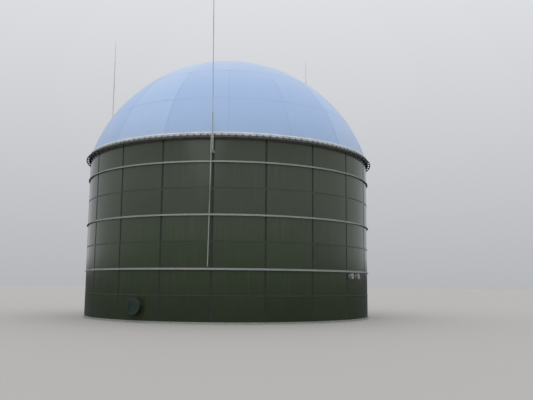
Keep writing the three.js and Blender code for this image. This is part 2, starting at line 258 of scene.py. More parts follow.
def hand_over(piece: Object, replaced: Iterable[str] = ()) -> None:
    """Fixes a finished piece to the tank and reports it.

    Args:
        piece: The finished piece.
        replaced: CAD nodes that it stands for.
    """
    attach(piece, BODY)
    if replaced:
        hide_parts(*replaced)
    piece.data.calc_loop_triangles()
    log.info("%s: %d triangles", piece.name, len(piece.data.loop_triangles))


def round_place(angle: float, shift: float = 0.0) -> Matrix:
    """Where a piece made at the front goes.

    Args:
        angle: Degrees from the front towards +X.
        shift: Metres along the wall.

    Returns:
        The matrix that moves it there.
    """
    return Matrix.Rotation(math.radians(angle), 4, "Z") @ Matrix.Translation((shift, 0, 0))


class Shape:
    """Closed bodies that are gathered into one mesh."""

    def __init__(self) -> None:
        """Starts with no body."""
        self.mesh = bmesh.new()

    def loft(self, loops: Sequence[Loop], ring: bool = False, place: Matrix = UPRIGHT) -> None:
        """Joins loops with the same number of points into one closed skin.

        Args:
            loops: The loops, in order.
            ring: Whether the last loop meets the first again; otherwise both ends are closed.
            place: Where the body goes.
        """
        rows = [[self.mesh.verts.new(place @ point) for point in loop] for loop in loops]
        faces = []
        for near, far in zip(rows, rows[1:] + (rows[:1] if ring else [])):
            for i, vertex in enumerate(near):
                j = (i + 1) % len(near)
                faces.append(self.mesh.faces.new((vertex, near[j], far[j], far[i])))
        if not ring:
            faces += [self.mesh.faces.new(rows[0]), self.mesh.faces.new(rows[-1])]
        bmesh.ops.recalc_face_normals(self.mesh, faces=faces)

    def sweep(self, outline: Outline, start: float = 0.0, turn: float = 360.0,
              steps: int = ROUND_STEPS) -> None:
        """Carries an outline round the tank's axis.

        Args:
            outline: Points as radius and height.
            start: First angle, in degrees from the front.
            turn: Degrees that it runs on; a full turn closes on itself.
            steps: Number of straight steps in a full turn.
        """
        ring = turn >= 360
        count = max(1, round(steps * turn / 360))
        angles = [math.radians(start + turn * i / count) for i in range(count + (not ring))]
        self.loft([[Vector((r * math.sin(a), -r * math.cos(a), z)) for r, z in outline]
                   for a in angles], ring=ring)

    def lathe(self, outline: Outline, sides: int, place: Matrix = UPRIGHT) -> None:
        """Turns an outline about its own upright axis.

        Args:
            outline: Points as radius and height, from one end to the other.
            sides: Number of flats.
            place: Where the body goes.
        """
        angles = [math.tau * i / sides for i in range(sides)]
        self.loft([[Vector((r * math.cos(a), r * math.sin(a), z)) for a in angles]
                   for r, z in outline], place=place)

    def block(self, low: Sequence[float], high: Sequence[float], bevel: float = 0.002,
              place: Matrix = UPRIGHT) -> None:
        """Makes a block with all its edges bevelled.

        Args:
            low: Lowest corner.
            high: Highest corner.
            bevel: Width of the bevel.
            place: Where the body goes.
        """
        (x0, y0, z0), (x1, y1, z1) = low, high
        loops = []
        for z, inset in ((z0, bevel), (z0 + bevel, 0.0), (z1 - bevel, 0.0), (z1, bevel)):
            near, far = inset, inset + bevel
            corners = ((x0 + far, y0 + near), (x1 - far, y0 + near), (x1 - near, y0 + far),
                       (x1 - near, y1 - far), (x1 - far, y1 - near), (x0 + far, y1 - near),
                       (x0 + near, y1 - far), (x0 + near, y0 + far))
            loops.append([Vector((x, y, z)) for x, y in corners])
        self.loft(loops, place=place)

    def rod(self, path: Sequence[Vector], radius: float, sides: int = 10,
            place: Matrix = UPRIGHT) -> None:
        """Runs a round bar along a path.

        Args:
            path: Points of its middle line.
            radius: Its radius.
            sides: Number of flats.
            place: Where the body goes.
        """
        ahead = (path[1] - path[0]).normalized()
        side = ahead.orthogonal().normalized()
        loops = []
        for i, point in enumerate(path):
            before, after = path[max(i - 1, 0)], path[min(i + 1, len(path) - 1)]
            direction = (after - before).normalized()
            side = (side - direction * side.dot(direction)).normalized()
            other = direction.cross(side)
            loops.append([point + radius * (side * math.cos(a) + other * math.sin(a))
                          for a in (math.tau * k / sides for k in range(sides))])
        self.loft(loops, place=place)

    def piece(self, name: str, finish: "Finish") -> Object:
        """Turns the gathered bodies into one named piece.

        Args:
            name: The piece's name.
            finish: What its surface is made of.

        Returns:
            The piece, at the origin with its place in its mesh.
        """
        mesh = bpy.data.meshes.new(name)
        self.mesh.to_mesh(mesh)
        self.mesh.free()
        mesh.materials.append(finish.material())
        piece = bpy.data.objects.new(name, mesh)
        bpy.context.scene.collection.objects.link(piece)
        mesh.shade_smooth()
        mesh.set_sharp_from_angle(angle=SHARP_ANGLE)
        return piece


@dataclass(frozen=True)
class Finish:
    """What every finish has: a name, and a surface built from nodes."""

    name: str

    def material(self) -> Material:
        """Makes the finish's material, or finds it where it is made already.

        Returns:
            The material.
        """
        found = bpy.data.materials.get(self.name)
        if found:
            return found
        material = bpy.data.materials.new(self.name)
        material.use_nodes = True
        tree = material.node_tree
        tree.nodes.clear()
        add_node(tree, "ShaderNodeOutputMaterial", {"Surface": self.surface(tree)})
        return material

    def surface(self, tree: NodeTree) -> NodeSocket:
        """Builds the surface.

        Args:
            tree: The material's nodes.

        Returns:
            The shader's output.
        """
        raise NotImplementedError

    @staticmethod
    def noise(tree: NodeTree, grain: Sequence[float], detail: float = 3.0) -> Any:
        """Cloudy noise over the object, with a grain size along each axis.

        Args:
            tree: The material's nodes.
            grain: Size of the pattern along X, Y and Z.
            detail: How many finer layers it has.

        Returns:
            The noise, about 0.5 in the middle.
        """
        place = add_node(tree, "ShaderNodeTexCoord", out="Object")
        scaled = add_node(tree, "ShaderNodeMapping",
                          {"Vector": place, "Scale": tuple(1 / size for size in grain)})
        return add_node(tree, "ShaderNodeTexNoise", {"Vector": scaled, "Scale": 1.0, "Detail": detail})

    @staticmethod
    def height(tree: NodeTree) -> NodeSocket:
        """Height over the ground, which is the Z of the object's own coordinates."""
        place = add_node(tree, "ShaderNodeTexCoord", out="Object")
        return add_node(tree, "ShaderNodeSeparateXYZ", {"Vector": place}, out="Z")

    @staticmethod
    def toned(tree: NodeTree, first: str, second: str) -> NodeSocket:
        """Blends two colours by the tone that each sheet or gore has been given.

        Args:
            tree: The material's nodes.
            first: Colour at a tone of 0.
            second: Colour at a tone of 1.

        Returns:
            The colour.
        """
        tone = add_node(tree, "ShaderNodeAttribute", out="Fac", attribute_name="tone")
        return add_node(tree, MIX, {"Factor": tone, "A": linear(first), "B": linear(second)},
                        data_type="RGBA")


@dataclass(frozen=True)
class GlassEnamel(Finish):
    """Glass fused to steel sheet: a hard glossy coat, wavy as the sheet under it, with thin dust, a band of
    painted light under the rim and painted shade towards the foot.
    """

    name: str = "glass_enamel_on_steel"
    deep: str = "343E2B"
    light: str = "3A4431"
    # Colour of the painted shade towards the foot
    dust_and_light: str = "8A8576"
    foot_colour: str = "23261A"
    roughness: float = 0.13
    dusty_roughness: float = 0.42
    ior: float = 1.55
    streak_width: float = 0.07
    streak_length: float = 1.6
    streak_contrast: tuple[float, float] = (0.47, 0.78)
    streak_share: float = 0.1
    sheltered_from: float = 0.3
    washed_share: float = 0.35
    # Painted light: a band in the dust's colour just below the rim, lifting the rim's shade
    painted_rim_light: tuple[float, float] = (8.16, 8.24)
    painted_rim_light_share: float = 0.42
    # Painted shade: the wall darkens towards the foot, for the dark ground that it mirrors low down
    painted_foot_shade_top: float = 3.2
    foot_colour_share: float = 0.45
    wave_length: float = 0.55
    wave_height: float = 0.0012

    def surface(self, tree: NodeTree) -> NodeSocket:
        """Deep green, a little different on each sheet, with dust in streaks, painted light under the rim
        and painted shade towards the foot.

        Args:
            tree: The material's nodes.

        Returns:
            The shader's output.
        """
        node = functools.partial(add_node, tree)
        height = self.height(tree)
        dust_and_light = self.dust_and_light_share(tree, height)
        colour = node(MIX,
                      {"Factor": dust_and_light, "A": self.toned(tree, self.deep, self.light),
                       "B": linear(self.dust_and_light)}, data_type="RGBA")
        # Painted shade: darker towards the foot, for the dark ground that the lower wall mirrors
        painted_foot_shade = node(RANGE,
                      {"Value": height, "From Min": 0.0, "From Max": self.painted_foot_shade_top,
                       "To Min": self.foot_colour_share, "To Max": 0.0}, interpolation_type="SMOOTHSTEP")
        colour = node(MIX, {"Factor": painted_foot_shade, "A": colour, "B": linear(self.foot_colour)}, data_type="RGBA")
        roughness = node(RANGE, {"Value": dust_and_light, "To Min": self.roughness, "To Max": self.dusty_roughness})
        wave = self.noise(tree, (self.wave_length,) * 3, detail=1.0)
        bump = node("ShaderNodeBump", {"Height": wave, "Distance": self.wave_height})
        return node("ShaderNodeBsdfPrincipled",
                    {"Base Color": colour, "Roughness": roughness, "IOR": self.ior, "Normal": bump})

    def dust_and_light_share(self, tree: NodeTree, height: NodeSocket) -> NodeSocket:
        """Dust on the wall in a thin film of streaks, and a band of painted light in the dust's colour just
        below the rim, which lifts the rim's shade.

        Args:
            tree: The material's nodes.
            height: Height over the ground.

        Returns:
            The share of the enamel that the dust colour hides, for the dust and for the painted light.
        """
        node = functools.partial(add_node, tree)
        streaks = self.noise(tree, (self.streak_width, self.streak_width, self.streak_length))
        film = node(RANGE,
                    {"Value": streaks, "From Min": self.streak_contrast[0],
                     "From Max": self.streak_contrast[1], "To Min": 0.0, "To Max": self.streak_share})
        # A girder shelters the wall just under it, so more dust stays there
        bay = 2 * SHEET_HEIGHT
        above = node(MATH, {0: height, 1: bay}, operation="MODULO")
        above = node(MATH, {0: above, 1: bay}, operation="DIVIDE")
        kept = node(RANGE,
                    {"Value": above, "From Min": self.sheltered_from, "From Max": 1.0,
                     "To Min": self.washed_share, "To Max": 1.0})
        # Painted light: the dust colour is laid on thicker just below the rim, lifting the shade that the
        # rim casts on the wall there
        painted_rim_light = node(RANGE,
                        {"Value": height, "From Min": self.painted_rim_light[0], "From Max": self.painted_rim_light[1],
                         "To Min": 0.0, "To Max": self.painted_rim_light_share})
        return node(MATH, {0: film, 1: kept, 2: painted_rim_light}, operation="MULTIPLY_ADD")


@dataclass(frozen=True)
class Mottled(Finish):
    """A finish of two tones in cloudy patches, with a fine grain that dulls and roughens it."""

    name: str
    dark: str
    pale: str
    metallic: float = 0.0
    roughness: tuple[float, float] = (0.4, 0.6)
    patch: float = 0.3
    grain: float = 0.01
    grain_height: float = 0.0003
    stretch: float = 1.0
    contrast: tuple[float, float] = (0.35, 0.65)
    ior: float = 1.5

    def colour(self, tree: NodeTree) -> NodeSocket:
        """The two tones, in cloudy patches.

        Args:
            tree: The material's nodes.

        Returns:
            The colour.
        """
        patches = self.noise(tree, (self.patch, self.patch, self.patch * self.stretch))
        share = add_node(tree, RANGE,
                         {"Value": patches, "From Min": self.contrast[0], "From Max": self.contrast[1]})
        return add_node(tree, MIX, {"Factor": share, "A": linear(self.dark), "B": linear(self.pale)},
                        data_type="RGBA")

    def surface(self, tree: NodeTree) -> NodeSocket:
        """Patches for the colour, and a grain for the roughness and the bump.

        Args:
            tree: The material's nodes.

        Returns:
            The shader's output.
        """
        colour = self.colour(tree)
        grain = self.noise(tree, (self.grain,) * 3, detail=2.0)
        roughness = add_node(tree, RANGE,
                             {"Value": grain, "To Min": self.roughness[0], "To Max": self.roughness[1]})
        bump = add_node(tree, "ShaderNodeBump", {"Height": grain, "Distance": self.grain_height})
        return add_node(tree, "ShaderNodeBsdfPrincipled",
                        {"Base Color": colour, "Roughness": roughness, "Metallic": self.metallic,
                         "IOR": self.ior, "Normal": bump})


@dataclass(frozen=True)
class StainedZinc(Mottled):
    """Zinc coat with a stretch that rust water has stained brown."""

    stain: str = "5F523C"
    stain_height: float = 5.6
    stain_core: float = 0.1
    stain_reach: float = 0.7
    stain_share: float = 0.6

    def colour(self, tree: NodeTree) -> NodeSocket:
        """The zinc's tones, with the stain fading out above and below its middle.

        Args:
            tree: The material's nodes.

        Returns:
            The colour.
        """
        zinc = super().colour(tree)
        above = add_node(tree, MATH, {0: self.height(tree), 1: self.stain_height}, operation="SUBTRACT")
        away = add_node(tree, MATH, {0: above}, operation="ABSOLUTE")
        stained = add_node(tree, RANGE,
                           {"Value": away, "From Min": self.stain_core, "From Max": self.stain_reach,
                            "To Min": self.stain_share, "To Max": 0.0})
        return add_node(tree, MIX, {"Factor": stained, "A": zinc, "B": linear(self.stain)},
                        data_type="RGBA")


@dataclass(frozen=True)
class CoatedFabric(Finish):
    """Polyester cloth with a soft PVC coat: pale and dull, with a dusty bloom seen at a low angle."""

    name: str = "pvc_coated_polyester"
    deep: str = "9BB5DA"
    pale: str = "AAC2E2"
    foot_colour: str = "8E9499"
    # Colour of the painted light at the crown
    painted_crown_light: str = "B9C4CE"
    bloom: str = "F2DFCB"
    roughness: float = 0.5
    ior: float = 1.5
    bloom_weight: float = 0.22
    bloom_roughness: float = 0.3
    cloud: tuple[float, float, float] = (0.9, 0.9, 1.6)
    grime_to: float = 9.6
    foot_colour_share: tuple[float, float] = (0.3, 0.06)
    # Painted light: the band up to the crown that is painted paler and greyer
    painted_crown_light_from: float = 11.0
    painted_crown_light_to: float = 14.1
    painted_crown_light_share: float = 0.45
    weave: float = 0.03
    weave_height: float = 0.0004

    def surface(self, tree: NodeTree) -> NodeSocket:
        """Panel tone, faint clouds, grime that has gathered near the foot, and painted light that makes the
        crown paler and greyer.

        Args:
            tree: The material's nodes.

        Returns:
            The shader's output.
        """
        node = functools.partial(add_node, tree)
        height = self.height(tree)
        low = node(RANGE,
                   {"Value": height, "From Min": WALL_TOP, "From Max": self.grime_to,
                    "To Min": self.foot_colour_share[0], "To Max": self.foot_colour_share[1]})
        grimy = node(MATH, {0: self.noise(tree, self.cloud), 1: low}, operation="MULTIPLY")
        colour = node(MIX,
                      {"Factor": grimy, "A": self.toned(tree, self.deep, self.pale),
                       "B": linear(self.foot_colour)}, data_type="RGBA")
        # Painted light: the crown is painted paler and greyer, for the sky's glare on the dome's top
        painted_crown_factor = node(RANGE,
                      {"Value": height, "From Min": self.painted_crown_light_from, "From Max": self.painted_crown_light_to,
                       "To Min": 0.0, "To Max": self.painted_crown_light_share})
        colour = node(MIX, {"Factor": painted_crown_factor, "A": colour, "B": linear(self.painted_crown_light)}, data_type="RGBA")
        # The yarn is under a millimetre thick, so it is drawn coarser to show at all
        weave = self.noise(tree, (self.weave,) * 3, detail=2.0)
        bump = node("ShaderNodeBump", {"Height": weave, "Distance": self.weave_height})
        return node("ShaderNodeBsdfPrincipled",
                    {"Base Color": colour, "Roughness": self.roughness, "IOR": self.ior, "Normal": bump,
                     "Sheen Weight": self.bloom_weight, "Sheen Roughness": self.bloom_roughness,
                     "Sheen Tint": linear(self.bloom)})


# Two-part polyurethane sealant: black and dull, smoothed by hand, with dust on it
SEALANT = Mottled("polyurethane_sealant", "1E231F", "2A302B", roughness=(0.5, 0.75), patch=0.15,
                  grain=0.012, grain_height=0.0006)
# The same on the lowest lap, under dust and dried splashes from the ground
DUSTY_SEALANT = Mottled("dusty_polyurethane_sealant", "42423B", "4E4E46", roughness=(0.8, 0.95),
                        patch=0.4, grain=0.012, grain_height=0.0006)
# Moulded polyethylene caps over the bolt heads, black with a dull shine
BOLT_CAP = Mottled("moulded_polyethylene", "20261F", "2B332A", roughness=(0.35, 0.5), patch=0.4,
                   grain=0.02, grain_height=0.0)
# Hot-dip zinc: grey and dull, with the patches of its crystals
GALVANISED = Mottled("hot_dip_galvanised_steel", "969892", "B1B3AC", metallic=0.55,
                     roughness=(0.35, 0.6), patch=0.045, grain=0.006, grain_height=0.0002)
# Zinc-coated water pipe, older and duller than the angles
GALVANISED_PIPE = Mottled("galvanised_steel_pipe", "9C9E96", "B7B8B0", metallic=0.45,
                          roughness=(0.4, 0.6), patch=0.12, grain=0.008, stretch=6.0)
# The down pipes are the same, stained where water runs down them
STAINED_PIPE = StainedZinc("stained_galvanised_pipe", "9C9E96", "B7B8B0", metallic=0.45,
                           roughness=(0.45, 0.65), patch=0.12, grain=0.008, stretch=6.0)
# Black tar paint on the rail, its arms and the clamps: matt, and too dusty to mirror much
DARK_STEEL = Mottled("black_tar_paint_on_steel", "2B2C2F", "3A3B3E", roughness=(0.6, 0.8), patch=0.2,
                     grain=0.01, ior=1.35)
# The rim's channel and the manway's bolts are painted dark too, and the weather has greyed them
GREYED_STEEL = Mottled("weathered_dark_paint_on_steel", "4A4B4A", "5C5D5B", roughness=(0.55, 0.75),
                       patch=0.12, grain=0.01, ior=1.45)
# White coated fabric of the membrane's foot, a little grubby from handling
WHITE_FABRIC = Mottled("white_coated_fabric", "C3C6C6", "DDE0DF", roughness=(0.55, 0.7), patch=0.35,
                       grain=0.02)
# Dark green gloss paint on the manway's cover
COVER_PAINT = Mottled("dark_green_gloss_paint", "1C2A22", "263A2F", roughness=(0.25, 0.4), patch=0.3,
                      grain=0.01)
# Cast concrete, float finished
CONCRETE = Mottled("cast_concrete", "8A867D", "A5A197", roughness=(0.8, 0.95), patch=0.5, grain=0.01,
                   grain_height=0.001)
ENAMEL = GlassEnamel()
MEMBRANE = CoatedFabric()


@functools.cache
def round_field_tree() -> Any:
    """A tree that repeats its own mesh round the wall, in columns, levels and rows.

    Returns:
        The tree. A column is a step along the wall within one turn, and a row a step within a level.
    """
    tree, given = start_tree("round_field", {
        Input.COUNT: ("Turns", "Columns", "Levels", "Rows"),
        Input.NUMBER: ("Radius", "First Angle", "Turn Angle", "Column Angle", "First Height",
                       "Level Height", "Row Height", "Odd Inset", "Spin")})
    node = functools.partial(add_node, tree)
    count = given["Turns"]
    for name in ("Columns", "Levels", "Rows"):
        count = node(MATH, {0: count, 1: given[name]}, operation="MULTIPLY")
    points = node("GeometryNodePoints", {"Count": count})
    rest = node("GeometryNodeInputIndex")
    steps = {}
    for name in ("Rows", "Levels", "Columns", "Turns"):
        steps[name] = node(MATH, {0: rest, 1: given[name]}, operation="MODULO")
        share = node(MATH, {0: rest, 1: given[name]}, operation="DIVIDE")
        rest = node(MATH, {0: share}, operation="FLOOR")
    angle = node(MATH, {0: steps["Turns"], 1: given["Turn Angle"], 2: given["First Angle"]},
                 operation="MULTIPLY_ADD")
    angle = node(MATH, {0: steps["Columns"], 1: given["Column Angle"], 2: angle},
                 operation="MULTIPLY_ADD")
    height = node(MATH, {0: steps["Levels"], 1: given["Level Height"], 2: given["First Height"]},
                  operation="MULTIPLY_ADD")
    height = node(MATH, {0: steps["Rows"], 1: given["Row Height"], 2: height}, operation="MULTIPLY_ADD")
    odd = node(MATH, {0: steps["Levels"], 1: 2.0}, operation="MODULO")
    inset = node(MATH, {0: odd, 1: given["Odd Inset"]}, operation="MULTIPLY")
    forward = node(MATH, {0: inset, 1: given["Radius"]}, operation="SUBTRACT")
    front = node("ShaderNodeCombineXYZ", {"Y": forward, "Z": height})
    place = node("ShaderNodeVectorRotate", {"Vector": front, "Angle": angle}, rotation_type="Z_AXIS")
    moved = node("GeometryNodeSetPosition", {"Geometry": points, "Position": place})
    spin = node("FunctionNodeRandomValue", {"Max": given["Spin"], "Seed": given["Seed"]},
                data_type="FLOAT")
    facing = node("ShaderNodeCombineXYZ", {"Y": spin, "Z": angle})
    copies = node("GeometryNodeInstanceOnPoints",
                  {"Points": moved, "Instance": given["Geometry"], "Rotation": facing})
    return close_tree(tree, copies, given["Material"])


@dataclass(frozen=True)
class RoundField:
    """Where the copies of a small piece go round the wall; angles are in degrees."""

    radius: float
    turns: int
    turn_angle: float
    first_angle: float = 0.0
    columns: int = 1
    column_angle: float = 0.0
    levels: int = 1
    first_height: float = 0.0
    level_height: float = 0.0
    rows: int = 1
    row_height: float = 0.0
    odd_inset: float = 0.0
    spin: float = 0.0
    seed: int = 1

    def fill(self, piece: Object) -> Object:
        """Repeats a piece made at the origin, where -Y points away from the wall.

        Args:
            piece: The piece to repeat.

        Returns:
            The piece with all its copies in one mesh.
        """
        return grow(piece, round_field_tree(), {
            "Radius": self.radius, "Turns": self.turns,
            "First Angle": math.radians(self.first_angle), "Turn Angle": math.radians(self.turn_angle),
            "Columns": self.columns, "Column Angle": math.radians(self.column_angle),
            "Levels": self.levels, "First Height": self.first_height,
            "Level Height": self.level_height, "Rows": self.rows, "Row Height": self.row_height,
            "Odd Inset": self.odd_inset, "Spin": math.radians(self.spin), "Seed": self.seed,
            "Material": piece.data.materials[0]})


@dataclass(frozen=True)
class BoltHead:
    """A bolt head or nut on its washer, seen from outside."""

    across: float = 0.024
    height: float = 0.013
    sides: int = 6
    chamfer: float = 0.002
    washer: float = 0.017
    washer_plate: float = 0.003
    washer_sides: int = 10
    sunk: float = 0.001

    def add_to(self, shape: Shape, place: Matrix = OUTWARDS) -> None:
        """Adds a hexagon head on a round washer.

        Args:
            shape: What it is added to.
            place: Where its seat goes; its axis points along the place's +Z.
        """
        half, seat = self.across / 2, self.washer_plate
        shape.lathe([(self.washer, -self.sunk), (self.washer, seat)], self.washer_sides, place)
        shape.lathe([(half, seat), (half, self.height - self.chamfer),
                     (half - 1.5 * self.chamfer, self.height)], self.sides, place)

    def piece(self, name: str, finish: Finish, place: Matrix = OUTWARDS) -> Object:
        """Makes a piece of one head alone, for a field to repeat.

        Args:
            name: The piece's name.
            finish: What its surface is made of.
            place: Which way it points.

        Returns:
            The piece.
        """
        shape = Shape()
        self.add_to(shape, place)
        return shape.piece(name, finish)


@dataclass(frozen=True)
class BoltCap(BoltHead):
    """The domed plastic cap that covers a bolt's head and washer."""

    height: float = 0.014
    washer: float = 0.0155

    def add_to(self, shape: Shape, place: Matrix = OUTWARDS) -> None:
        """Adds the cap in place of the head.

        Args:
            shape: What it is added to.
            place: Where its seat goes; its axis points along the place's +Z.
        """
        radius = self.washer
        shape.lathe([(radius, -self.sunk), (radius * 0.9, self.height * 0.65),
                     (radius * 0.45, self.height)], self.sides, place)


def bolt_circle(radius: float, bolts: int, level: float) -> list[Matrix]:
    """Places of the bolts on a round flange that is made upright.

    Args:
        radius: Radius of the circle.
        bolts: Number of bolts.
        level: Height of their seats.

    Returns:
        A place for each bolt, pointing upwards.
    """
    turns = [math.tau * (i + 0.5) / bolts for i in range(bolts)]
    return [Matrix.Translation((radius * math.cos(a), radius * math.sin(a), level)) for a in turns]


@functools.cache
def enamel_sheets_tree() -> Any:
    """A tree that lays curved sheets in courses, each lapped over the next one round.

    Returns:
        The tree.
    """
    tree, given = start_tree("enamel_sheets", {
        Input.COUNT: ("Sheets Round", "Courses"),
        Input.NUMBER: ("Sheet Height", "Radius", "Course Inset", "Side Lap", "Course Lap", "Seam Rise",
                       "Wave Height", "Wave Length")})
    node = functools.partial(add_node, tree)
    across, up = SHEET_POINTS
    sheet = node("GeometryNodeMeshGrid",
                 {"Size X": 1.0, "Size Y": 1.0, "Vertices X": across, "Vertices Y": up})
    count = node(MATH, {0: given["Sheets Round"], 1: given["Courses"]}, operation="MULTIPLY")
    points = node("GeometryNodePoints", {"Count": count})
    index = node("GeometryNodeInputIndex")
    column = node(MATH, {0: index, 1: given["Sheets Round"]}, operation="MODULO")
    share = node(MATH, {0: index, 1: given["Sheets Round"]}, operation="DIVIDE")
    course = node(MATH, {0: share}, operation="FLOOR")
    tone = node("FunctionNodeRandomValue", {"Seed": given["Seed"]}, data_type="FLOAT")
    for name, value in (("column", column), ("course", course), ("tone", tone)):
        points = node("GeometryNodeStoreNamedAttribute",
                      {"Geometry": points, "Name": name, "Value": value}, data_type="FLOAT",
                      domain="POINT")
    copies = node("GeometryNodeInstanceOnPoints", {"Points": points, "Instance": sheet})
    flat = node("GeometryNodeRealizeInstances", {"Geometry": copies})
    column = node("GeometryNodeInputNamedAttribute", {"Name": "column"}, data_type="FLOAT")
    course = node("GeometryNodeInputNamedAttribute", {"Name": "course"}, data_type="FLOAT")
    local = node("GeometryNodeInputPosition")
    x = node("ShaderNodeSeparateXYZ", {"Vector": local}, out="X")
    y = node("ShaderNodeSeparateXYZ", {"Vector": local}, out="Y")
    odd = node(MATH, {0: course, 1: 2.0}, operation="MODULO")
    even = node(MATH, {0: 1.0, 1: odd}, operation="SUBTRACT")
    # Along the wall: the sheet is wider than its share by the side lap
    width = node(MATH, {0: given["Side Lap"], 1: 1.0}, operation="ADD")
    along = node(MATH, {0: x, 1: width, 2: column}, operation="MULTIPLY_ADD")
    along = node(MATH, {0: along, 1: 0.5}, operation="ADD")
    turn = node(MATH, {0: math.tau, 1: given["Sheets Round"]}, operation="DIVIDE")
    angle = node(MATH, {0: along, 1: turn}, operation="MULTIPLY")
    # Up the wall: the outer courses reach over the inner ones
    stretch = node(MATH, {0: even, 1: given["Course Lap"], 2: 1.0}, operation="MULTIPLY_ADD")
    level = node(MATH, {0: y, 1: stretch, 2: course}, operation="MULTIPLY_ADD")
    level = node(MATH, {0: level, 1: 0.5}, operation="ADD")
    height = node(MATH, {0: level, 1: given["Sheet Height"]}, operation="MULTIPLY")
    top = node(MATH, {0: given["Courses"], 1: given["Sheet Height"]}, operation="MULTIPLY")
    height = node("ShaderNodeClamp", {"Value": height, "Min": STEP_GAP, "Max": top})
    # Away from the wall: course by course, rising to the lap at the sheet's far side
    rise = node(MATH, {0: x, 1: 0.5}, operation="ADD")
    rise = node(MATH, {0: rise, 1: given["Seam Rise"], 2: given["Radius"]}, operation="MULTIPLY_ADD")
    inset = node(MATH, {0: odd, 1: given["Course Inset"]}, operation="MULTIPLY")
    radius = node(MATH, {0: rise, 1: inset}, operation="SUBTRACT")
    back = node(MATH, {0: radius, 1: -1.0}, operation="MULTIPLY")
    front = node("ShaderNodeCombineXYZ", {"Y": back, "Z": height})
    place = node("ShaderNodeVectorRotate", {"Vector": front, "Angle": angle}, rotation_type="Z_AXIS")
    # Held flat at its edges, a sheet waves a little in its middle
    fade = None
    for side in (x, y):
        square = node(MATH, {0: side, 1: side}, operation="MULTIPLY")
        inner = node(MATH, {0: square, 1: -4.0, 2: 1.0}, operation="MULTIPLY_ADD")
        fade = inner if fade is None else node(MATH, {0: fade, 1: inner}, operation="MULTIPLY")
    scale = node(MATH, {0: 1.0, 1: given["Wave Length"]}, operation="DIVIDE")
    wave = node("ShaderNodeTexNoise", {"Vector": place, "Scale": scale, "Detail": 0.0})
    wave = node(MATH, {0: wave, 1: 0.5}, operation="SUBTRACT")
    wave = node(MATH, {0: wave, 1: fade}, operation="MULTIPLY")
    wave = node(MATH, {0: wave, 1: given["Wave Height"]}, operation="MULTIPLY")
    outwards = node("ShaderNodeVectorMath",
                    {0: node("ShaderNodeVectorRotate", {"Vector": (0.0, -1.0, 0.0), "Angle": angle},
                             rotation_type="Z_AXIS"), "Scale": wave}, operation="SCALE")
    place = node("ShaderNodeVectorMath", {0: place, 1: outwards}, operation="ADD")
    bent = node("GeometryNodeSetPosition", {"Geometry": flat, "Position": place})
    return close_tree(tree, bent, given["Material"])


